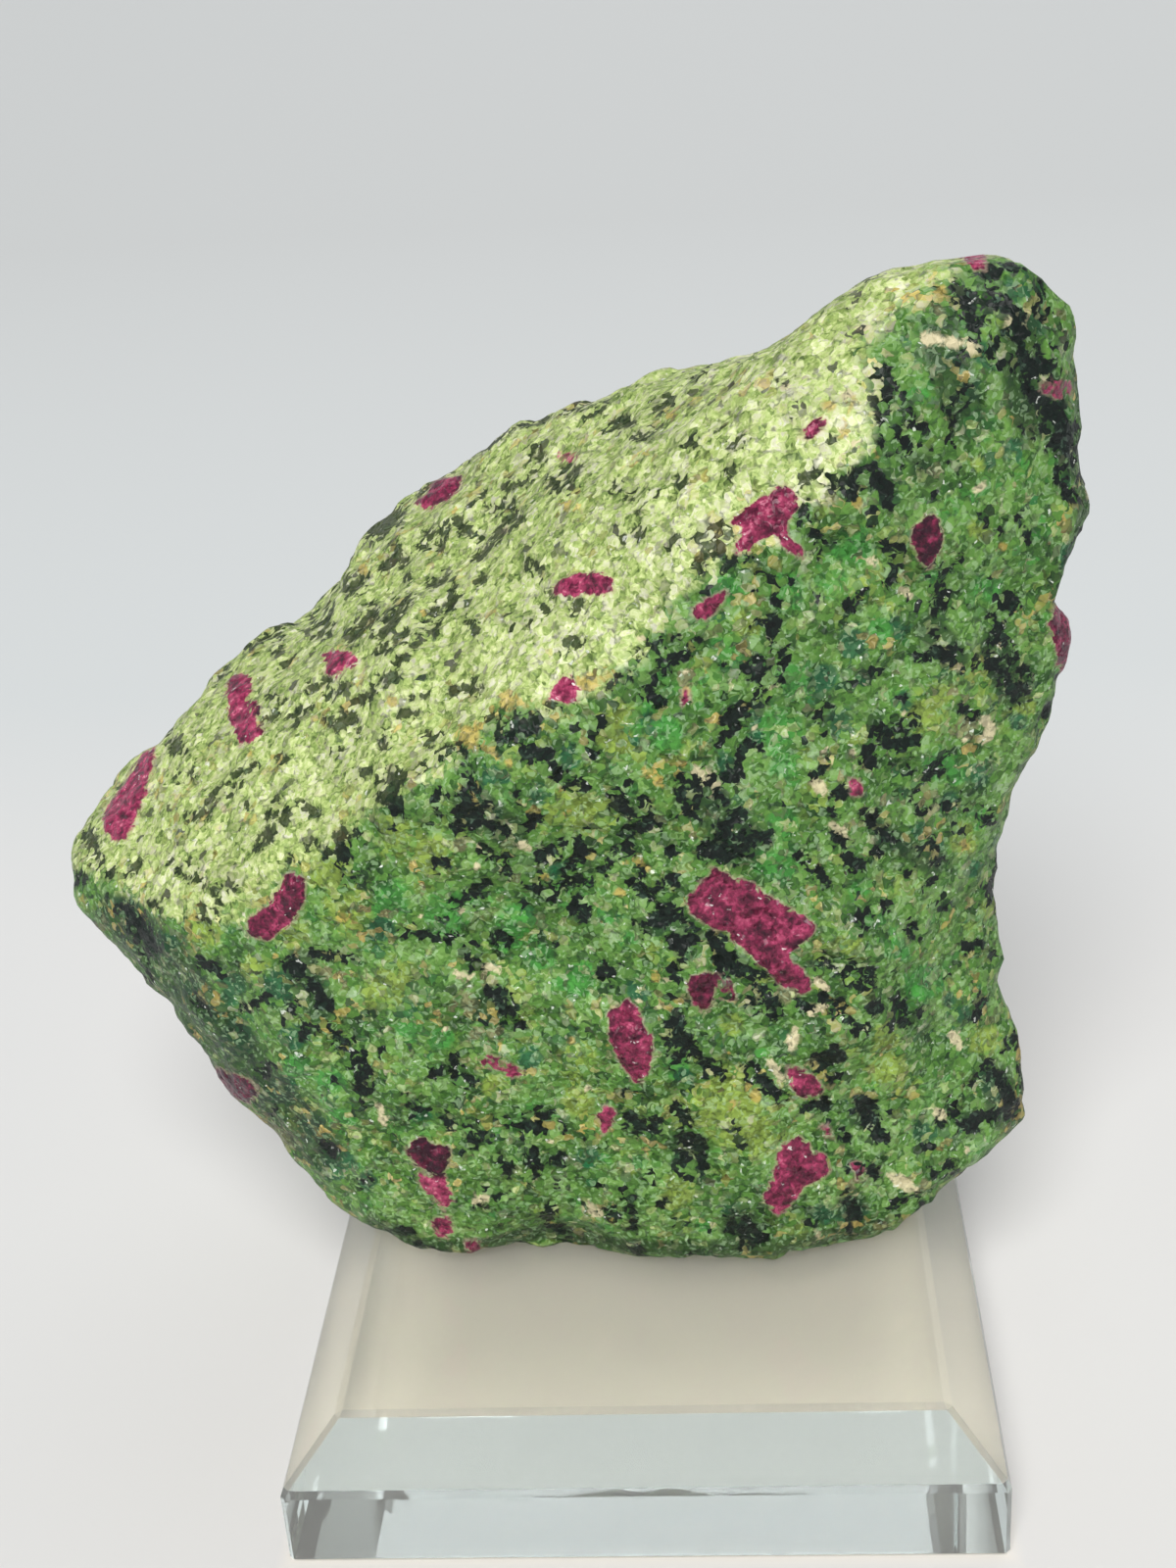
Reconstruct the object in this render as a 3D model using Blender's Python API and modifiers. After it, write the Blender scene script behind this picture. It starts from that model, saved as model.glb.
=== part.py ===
"""A rough lump of ruby in zoisite standing on a clear bevelled glass display block.

Metres, +Z up. The origin is the centre of the block's underside, and -Y is the front.
The lump is one solid: its rubies and hornblende are grown into the zoisite.
"""
import math

import bmesh
import bpy
from mathutils import Vector, noise
from mathutils.bvhtree import BVHTree

MM = 0.001
COLLECTION_NAME = "ruby_in_zoisite"

# Display block: a square plate with a wide 45 degree bevel round its top.
BLOCK_WIDTH = 75.0 * MM
BLOCK_THICKNESS = 15.0 * MM
BLOCK_BEVEL = 5.8 * MM
BLOCK_ARRIS = 0.5 * MM

# The stone rests on the block with this gap, so that the two solids stay apart.
REST_GAP = 0.3 * MM
STONE_BASE_Z = BLOCK_THICKNESS + REST_GAP

# Corners of the broken lump in millimetres (x to the right, y to the back, z up).
STONE_CORNERS = {
    # flat worn patch that it stands on
    "base_front_left": (-22, -8, 13),
    "base_front_right": (22, -9, 13),
    "base_back_right": (22, 32, 14),
    "base_back_left": (-18, 34, 14),
    # big front face
    "front_low_left": (-34, -5, 32),
    "front_low_right": (33, -5, 24),
    "front_middle": (5, -13, 58),
    "front_left_bend": (-33, -9, 56),
    "spur": (47, 1, 29),
    # ridge between the front face and the sloping upper face
    "ridge_left": (-51, -4, 60),
    "ridge_lower": (-38, -10, 60),
    "ridge_low_middle": (-16, -15, 80),
    "ridge_middle": (1, -15, 89),
    "ridge_high_middle": (18, -12, 101),
    "ridge_high": (27, -10, 112),
    # left tip
    "left_tip": (-71, 14, 56),
    "left_tip_top": (-60, 21, 65),
    # far rim of the sloping upper face
    "rim_left": (-46, 31, 71),
    "rim_left_middle": (-28, 37, 90),
    "rim_middle": (-12, 35, 98),
    "rim_right_middle": (2, 28, 101),
    "rim_right": (13, 23, 107),
    # horn at the top right
    "horn_left": (26, 8, 120),
    "horn_top": (33, -3, 126),
    "horn_right": (45, -1, 126),
    "horn_side_high": (47, -3, 112),
    "horn_side_low": (47, -3, 100),
    # back, broken in three broad faces that meet at a keel
    "back_top_left": (-36, 46, 74),
    "back_top_right": (20, 40, 101),
    "horn_back": (39, 24, 108),
    "keel_high": (2, 52, 84),
    "keel_low": (8, 54, 40),
    "back_right": (42, 30, 62),
    "back_left": (-50, 38, 48),
    "back_low_left": (-24, 42, 24),
    "back_low_right": (30, 36, 25),
    # lower left edge, from the tip down to the base
    "left_edge_high": (-51, 9, 44),
    "left_edge_middle": (-47, 7, 33),
    "left_edge_low": (-39, 2, 23),
    "left_edge_foot": (-31, -5, 16),
}

STONE_CENTRE = Vector((-4.0, 18.0, 66.0)) * MM
STONE_GRID_CUTS = 23
GRID_RELAX_PASSES = 8

# The broken edges are worn round, which takes this much off the corners.
EDGE_ROUNDING_PASSES = 1
EDGE_ROUNDING_FACTOR = 0.5
CORNER_ALLOWANCE = 1.6 * MM

# Hollows and swellings: centre, radii along x, y and z, and the push at the centre (mm).
STONE_PUSHES = {
    "right_hollow": ((44, 4, 53), (22, 34, 36), (-8.3, 0, 0)),
    "right_notch": ((47, 4, 92), (12, 16, 7), (-3, 0, 0)),
    "saddle_beside_horn": ((20, 16, 115), (15, 16, 14), (1, 0, -4.5)),
    "rim_step": ((-36, 31, 83), (12, 14, 9), (2.5, 0, -3)),
    "edge_below_tip": ((-57, 10, 45), (12, 14, 13), (2.5, 1, 1)),
    "base_front_chip": ((-10, -10, 15), (11, 8, 8), (0, 3, 3)),
    "under_spur": ((40, -4, 22), (8, 10, 6), (-1, 1, 1)),
    "dip_in_upper_face": ((-20, 12, 92), (22, 16, 14), (0, 0, -1.5)),
    "dip_in_front_face": ((-4, -14, 64), (20, 8, 18), (0, 1.5, 0)),
    "back_scoop_high": ((22, 46, 82), (24, 16, 24), (0, -5, 0)),
    "back_scoop_low": ((-26, 48, 54), (24, 16, 20), (3, -5, 0)),
    "back_shelf": ((14, 52, 30), (30, 14, 10), (0, -4, 0)),
}

# Broken surface: slow waves and small chips, as wavelength and height (mm).
ROUGHNESS_OCTAVES = (
    (26.0, 1.6),
    (10.0, 0.8),
)
ROUGHNESS_SEED = 7.0

GLASS_COLOUR = (0.78, 0.90, 0.88, 1.0)
GLASS_ROUGHNESS = 0.05
ZOISITE_COLOUR = (0.20, 0.35, 0.13, 1.0)
ZOISITE_ROUGHNESS = 0.55


def clear_scene():
    for scene_object in list(bpy.data.objects):
        bpy.data.objects.remove(scene_object, do_unlink=True)


def make_collection(name):
    collection = bpy.data.collections.new(name)
    bpy.context.scene.collection.children.link(collection)
    return collection


def make_material(name, colour, roughness, metallic=0.0):
    material = bpy.data.materials.new(name)
    material.use_nodes = True
    shader = material.node_tree.nodes["Principled BSDF"]
    shader.inputs["Base Color"].default_value = colour
    shader.inputs["Roughness"].default_value = roughness
    shader.inputs["Metallic"].default_value = metallic
    return material


def add_mesh_object(name, shape, collection, material):
    mesh = bpy.data.meshes.new(name)
    shape.to_mesh(mesh)
    shape.free()
    mesh.materials.append(material)
    new_object = bpy.data.objects.new(name, mesh)
    collection.objects.link(new_object)
    return new_object


def bevel_top_edges(shape, top_z, width):
    top_edges = [edge for edge in shape.edges if all(abs(v.co.z - top_z) < width for v in edge.verts)]
    bmesh.ops.bevel(shape, geom=top_edges, offset=width, offset_type="OFFSET", segments=1,
                    affect="EDGES", profile=0.5)


def build_block(collection):
    """Square glass plate, its underside on z = 0, with a wide bevel and fine ground edges."""
    shape = bmesh.new()
    bmesh.ops.create_cube(shape, size=1.0)
    bmesh.ops.scale(shape, vec=(BLOCK_WIDTH, BLOCK_WIDTH, BLOCK_THICKNESS), verts=shape.verts)
    bmesh.ops.translate(shape, vec=(0.0, 0.0, BLOCK_THICKNESS / 2), verts=shape.verts)
    bevel_top_edges(shape, BLOCK_THICKNESS, BLOCK_BEVEL)
    glass = make_material("glass", GLASS_COLOUR, GLASS_ROUGHNESS)
    block = add_mesh_object("glass_display_block", shape, collection, glass)
    arris = block.modifiers.new("ground_edges", "BEVEL")
    arris.width = BLOCK_ARRIS
    arris.segments = 1
    arris.limit_method = "ANGLE"
    return block


def lump_hull():
    """Flat-faced hull round the lump's corners, as a tree that rays can be cast on."""
    shape = bmesh.new()
    for corner in STONE_CORNERS.values():
        place = Vector(corner) * MM
        outward = (place - STONE_CENTRE).normalized()
        shape.verts.new(place + outward * CORNER_ALLOWANCE)
    bmesh.ops.convex_hull(shape, input=shape.verts)
    tree = BVHTree.FromBMesh(shape)
    shape.free()
    return tree


def even_cube_grid():
    """Cube with an even grid on its faces, centred on the lump."""
    shape = bmesh.new()
    bmesh.ops.create_cube(shape, size=2.0)
    bmesh.ops.subdivide_edges(shape, edges=shape.edges, cuts=STONE_GRID_CUTS, use_grid_fill=True)
    return shape


def smooth_once(shape, factor):
    bmesh.ops.smooth_vert(shape, verts=shape.verts, factor=factor,
                          use_axis_x=True, use_axis_y=True, use_axis_z=True)


def wrap_on_hull(shape):
    """Lay the grid on the hull, then let it slide there until its cells are about even."""
    tree = lump_hull()
    for vert in shape.verts:
        direction = Vector([math.tan(c * math.pi / 4) for c in vert.co])
        vert.co = tree.ray_cast(STONE_CENTRE, direction.normalized())[0]
    for _ in range(GRID_RELAX_PASSES):
        smooth_once(shape, 0.5)
        for vert in shape.verts:
            vert.co = tree.find_nearest(vert.co)[0]


def round_edges(shape):
    for _ in range(EDGE_ROUNDING_PASSES):
        smooth_once(shape, EDGE_ROUNDING_FACTOR)


def smooth_falloff(distance):
    inside = max(0.0, 1.0 - distance * distance)
    return inside * inside


def push_hollows(shape):
    for centre, radii, push in STONE_PUSHES.values():
        centre = Vector(centre) * MM
        push = Vector(push) * MM
        for vert in shape.verts:
            offset = vert.co - centre
            scaled = Vector([offset[i] / (radii[i] * MM) for i in range(3)])
            vert.co += push * smooth_falloff(scaled.length)


def roughen(shape):
    shape.normal_update()
    normals = {vert: vert.normal.copy() for vert in shape.verts}
    for wavelength, height in ROUGHNESS_OCTAVES:
        for vert, normal in normals.items():
            place = vert.co / (wavelength * MM) + Vector((ROUGHNESS_SEED, 0.0, wavelength))
            vert.co += normal * noise.noise(place) * height * MM


def flatten_base(shape):
    for vert in shape.verts:
        vert.co.z = max(vert.co.z, STONE_BASE_Z)


def build_stone(collection):
    """Broken lump: flat faces with worn edges, one side hollow, a small flat patch below."""
    shape = even_cube_grid()
    wrap_on_hull(shape)
    round_edges(shape)
    push_hollows(shape)
    roughen(shape)
    flatten_base(shape)
    bmesh.ops.triangulate(shape, faces=shape.faces)
    bmesh.ops.recalc_face_normals(shape, faces=shape.faces)
    zoisite = make_material("zoisite", ZOISITE_COLOUR, ZOISITE_ROUGHNESS)
    stone = add_mesh_object("ruby_in_zoisite_stone", shape, collection, zoisite)
    stone.data.shade_smooth()
    return stone


def main():
    clear_scene()
    collection = make_collection(COLLECTION_NAME)
    build_block(collection)
    build_stone(collection)


main()
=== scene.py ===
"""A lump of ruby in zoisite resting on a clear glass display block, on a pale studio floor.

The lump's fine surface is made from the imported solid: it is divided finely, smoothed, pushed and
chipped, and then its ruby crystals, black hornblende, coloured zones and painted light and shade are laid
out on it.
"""

import math
import random

import bmesh
import bpy
import numpy as np
from mathutils import Matrix, Vector, noise
from mathutils.bvhtree import BVHTree


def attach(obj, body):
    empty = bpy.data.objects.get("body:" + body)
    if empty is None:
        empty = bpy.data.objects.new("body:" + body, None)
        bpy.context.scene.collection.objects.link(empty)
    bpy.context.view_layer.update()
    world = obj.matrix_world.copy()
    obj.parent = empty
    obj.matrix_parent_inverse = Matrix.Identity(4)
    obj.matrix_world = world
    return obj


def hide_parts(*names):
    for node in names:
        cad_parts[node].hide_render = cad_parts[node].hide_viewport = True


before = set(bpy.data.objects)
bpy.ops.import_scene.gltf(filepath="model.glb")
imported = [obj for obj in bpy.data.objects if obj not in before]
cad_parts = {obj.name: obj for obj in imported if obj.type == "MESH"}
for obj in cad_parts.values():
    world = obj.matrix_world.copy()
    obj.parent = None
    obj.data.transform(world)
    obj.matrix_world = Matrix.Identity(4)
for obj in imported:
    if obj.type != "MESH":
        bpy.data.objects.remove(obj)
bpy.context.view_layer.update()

MM = 0.001
HALF = Vector((0.5, 0.5, 0.5))  # the mean of a random vector or colour

# ---------------------------------------------------------------- camera
PHOTO_WIDTH = 1200
PHOTO_HEIGHT = 1600
CAMERA_PLACE = (12.375, -200.0, 167.2)  # mm
CAMERA_DOWN = math.radians(25.47)
CAMERA_HEADING = math.radians(-4.52)
CAMERA_ROLL = math.radians(3.93)
FOCAL_PIXELS = 2150
SENSOR = 36.0  # mm
CLIP_START = 0.01
CLIP_END = 50.0
PIXELS_PER_MM = 10.0  # on the lump, near enough

# ---------------------------------------------------------------- the stone's surface
STONE_NODE = "ruby_in_zoisite_stone"
BLOCK_NODE = "glass_display_block"
WELD = 0.001  # mm
FINE_CUTS = 4  # cuts across each edge of the solid
SMOOTH_PASSES = 12
SMOOTH_IN = 0.5  # each pass first pulls the surface in,
SMOOTH_OUT = -0.52  # then swells it back, so the lump doesn't shrink

# centre, radii and push, mm
SURFACE_PUSHES = {
    "ledge_beside_star": ((21, -11, 100), (7, 5, 5), (0.0, 1.6, 0.0)),
}

# small moves of the outline: place and move in the photo's pixels
OUTLINE_MOVES = (
    (185, 738, 8, 7), (279, 660, 10, 13), (511, 440, -4, -8), (644, 400, 3, 12),
    (1085, 330, -12, 4), (1106, 545, 10, 0), (1019, 940, 9, 0), (909, 1254, -4, -9),
    (489, 1276, 0, -10), (286, 1160, 9, -6), (200, 1050, 11, -8), (100, 935, 8, -6),
)
OUTLINE_MOVE_REACH = 9.0  # mm
OUTLINE_FACING_COST = 40.0  # pixels added to a point that faces the camera

# seeded roughness: size of the waves and their height, mm
WAVES = ((14.0, 0.7), (5.0, 0.4), (1.9, 0.3))
WAVE_SEED = 4.0
CHIP_SIZE = 7.0
CHIP_SLOPE = 0.17
CHIP_ROUNDING = 0.12  # how wide the edge between two chips is rounded
CHIP_SEED_SPREAD = 1000.0  # sets chips apart, so that each has its own tilt
RUBY_RISE = 0.25  # mm that a ruby stands proud
RUBY_RISE_EDGE = (-0.5, 0.2)  # mm from its outline over which it rises
DARK_SINK = 0.2  # mm that hornblende lies low
DARK_SINK_EDGE = (-0.5, 0.3)

# ---------------------------------------------------------------- marks, in the photo's pixels
# ruby: outline, pinkness 0 (maroon) to 1 (pink), strength 0 (faint) to 1 (solid)
RUBIES = {
    "slab": (((726, 883), (735, 888), (745, 895), (766, 901), (785, 915), (806, 927), (823, 936),
        (832, 945), (827, 955), (814, 965), (806, 973), (813, 986), (826, 998), (827, 1008), (820, 1015),
        (800, 1005), (783, 991), (760, 970), (740, 951), (720, 943), (706, 931), (701, 918), (711, 905),
        (722, 895)), 0.42, 1.0),
    "oval": (((620, 1035), (632, 1026), (640, 1021), (650, 1030), (660, 1050), (666, 1070), (663, 1088),
        (658, 1100), (648, 1105), (640, 1092), (630, 1078), (621, 1055)), 0.5, 1.0),
    "square": (((415, 1170), (424, 1161), (435, 1163), (450, 1167), (460, 1175), (457, 1188), (453, 1201),
        (440, 1197), (429, 1192), (419, 1183)), 0.02, 1.0),
    "under_square": (((425, 1198), (437, 1200), (452, 1202), (458, 1212), (462, 1225), (453, 1232),
        (443, 1222), (431, 1212)), 0.75, 0.9),
    "faint_low": (((438, 1248), (448, 1242), (459, 1241), (462, 1256), (451, 1265)), 0.5, 0.55),
    "small_low": (((473, 1266), (487, 1265), (493, 1275), (479, 1280)), 0.5, 0.8),
    "small_middle": (((612, 1146), (609, 1136), (619, 1128), (626, 1134), (625, 1149),
        (615, 1158)), 0.6, 0.9),
    "brown_middle": (((484, 1080), (500, 1077), (520, 1084), (536, 1095), (520, 1099),
        (504, 1090)), 0.65, 0.5),
    "low_right": (((800, 1166), (813, 1159), (826, 1166), (827, 1176), (840, 1179), (848, 1190),
        (841, 1200), (822, 1208), (810, 1226), (795, 1238), (782, 1228), (779, 1219), (788, 1204),
        (791, 1190), (794, 1176)), 0.45, 1.0),
    "dim_middle": (((699, 1006), (706, 998), (720, 992), (733, 995), (731, 1010), (725, 1028),
        (713, 1033), (707, 1021)), 0.3, 0.75),
    "dim_middle_tail": (((733, 998), (748, 1003), (750, 1020), (735, 1018)), 0.3, 0.4),
    "dull_right": (((802, 1089), (812, 1090), (832, 1100), (839, 1110), (833, 1119), (818, 1118),
        (808, 1107)), 0.5, 0.75),
    "diagonal": (((292, 893), (303, 891), (312, 901), (310, 916), (305, 931), (292, 946), (275, 958),
        (258, 956), (250, 945), (262, 931), (278, 920), (286, 905)), 0.4, 1.0),
    "left_edge": (((146, 768), (158, 764), (158, 782), (152, 798), (147, 815), (140, 836), (130, 855),
        (117, 858), (107, 848), (105, 836), (111, 822), (127, 800), (138, 782)), 0.62, 1.0),
    "upper_left": (((234, 690), (246, 687), (257, 691), (257, 706), (252, 718), (262, 732), (268, 748),
        (258, 757), (244, 759), (240, 745), (234, 730), (232, 708)), 0.6, 0.95),
    "upper_left_side": (((258, 712), (265, 722), (263, 730), (256, 724)), 0.2, 0.9),
    "left_speck": (((328, 668), (342, 664), (362, 668), (368, 676), (352, 683), (342, 692), (334, 686),
        (334, 676)), 0.65, 0.75),
    "upper_rim": (((424, 513), (436, 503), (444, 490), (457, 488), (470, 485), (473, 495), (462, 506),
        (450, 514), (436, 520)), 0.5, 0.9),
    "long_pink": (((564, 603), (572, 592), (584, 587), (600, 585), (614, 584), (624, 589), (627, 600),
        (622, 607), (607, 606), (591, 608), (576, 609)), 0.5, 0.95),
    "faint_rim": (((568, 463), (578, 460), (591, 465), (585, 471), (572, 471)), 0.8, 0.45),
    "ridge_left": (((551, 712), (562, 708), (567, 698), (574, 688), (582, 690), (586, 698), (592, 706),
        (591, 717), (581, 719), (566, 714)), 0.65, 0.95),
    "ridge_right": (((704, 626), (711, 616), (723, 611), (734, 605), (742, 602), (738, 613), (730, 624),
        (720, 634), (710, 629)), 0.5, 1.0),
    "below_horn": (((812, 447), (822, 438), (830, 430), (836, 424), (845, 424), (845, 434), (837, 442),
        (826, 446)), 0.5, 0.85),
    "star": (((744, 534), (752, 526), (767, 516), (779, 507), (790, 499), (801, 494), (809, 501),
        (815, 509), (813, 519), (807, 528), (803, 537), (806, 547), (814, 556), (822, 563), (820, 570),
        (810, 566), (800, 557), (792, 546), (784, 544), (774, 553), (765, 561), (754, 563), (748, 560),
        (754, 551), (761, 543), (760, 537), (752, 537)), 0.52, 1.0),
    "dark_right": (((935, 534), (943, 525), (951, 524), (957, 530), (961, 540), (961, 553), (957, 565),
        (951, 576), (944, 581), (938, 572), (933, 560), (928, 550), (928, 541)), 0.08, 1.0),
    "right_edge": (((1078, 618), (1090, 619), (1098, 634), (1098, 655), (1093, 672), (1084, 686),
        (1079, 678), (1077, 664), (1072, 646), (1068, 634), (1074, 628)), 0.42, 1.0),
    "horn_rim": (((972, 258), (1004, 258), (1008, 272), (1000, 278), (985, 266)), 0.6, 0.75),
    "horn_brown": (((1060, 388), (1078, 386), (1096, 392), (1094, 405), (1075, 408),
        (1062, 400)), 0.5, 0.35),
    "dark_facet": (((220, 1088), (238, 1097), (258, 1103), (263, 1114), (255, 1125), (240, 1121),
        (230, 1113), (222, 1100)), 0.12, 0.9),
    "faint_slope": (((866, 795), (876, 795), (879, 810), (870, 812)), 0.55, 0.6),
    "lower_brown": (((869, 1188), (880, 1185), (884, 1196), (874, 1201)), 0.3, 0.4),
    "ridge_brown": (((695, 703), (703, 702), (705, 718), (697, 719)), 0.45, 0.4),
    "low_speck": (((838, 1150), (846, 1147), (848, 1156), (840, 1157)), 0.6, 0.5),
}
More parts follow.
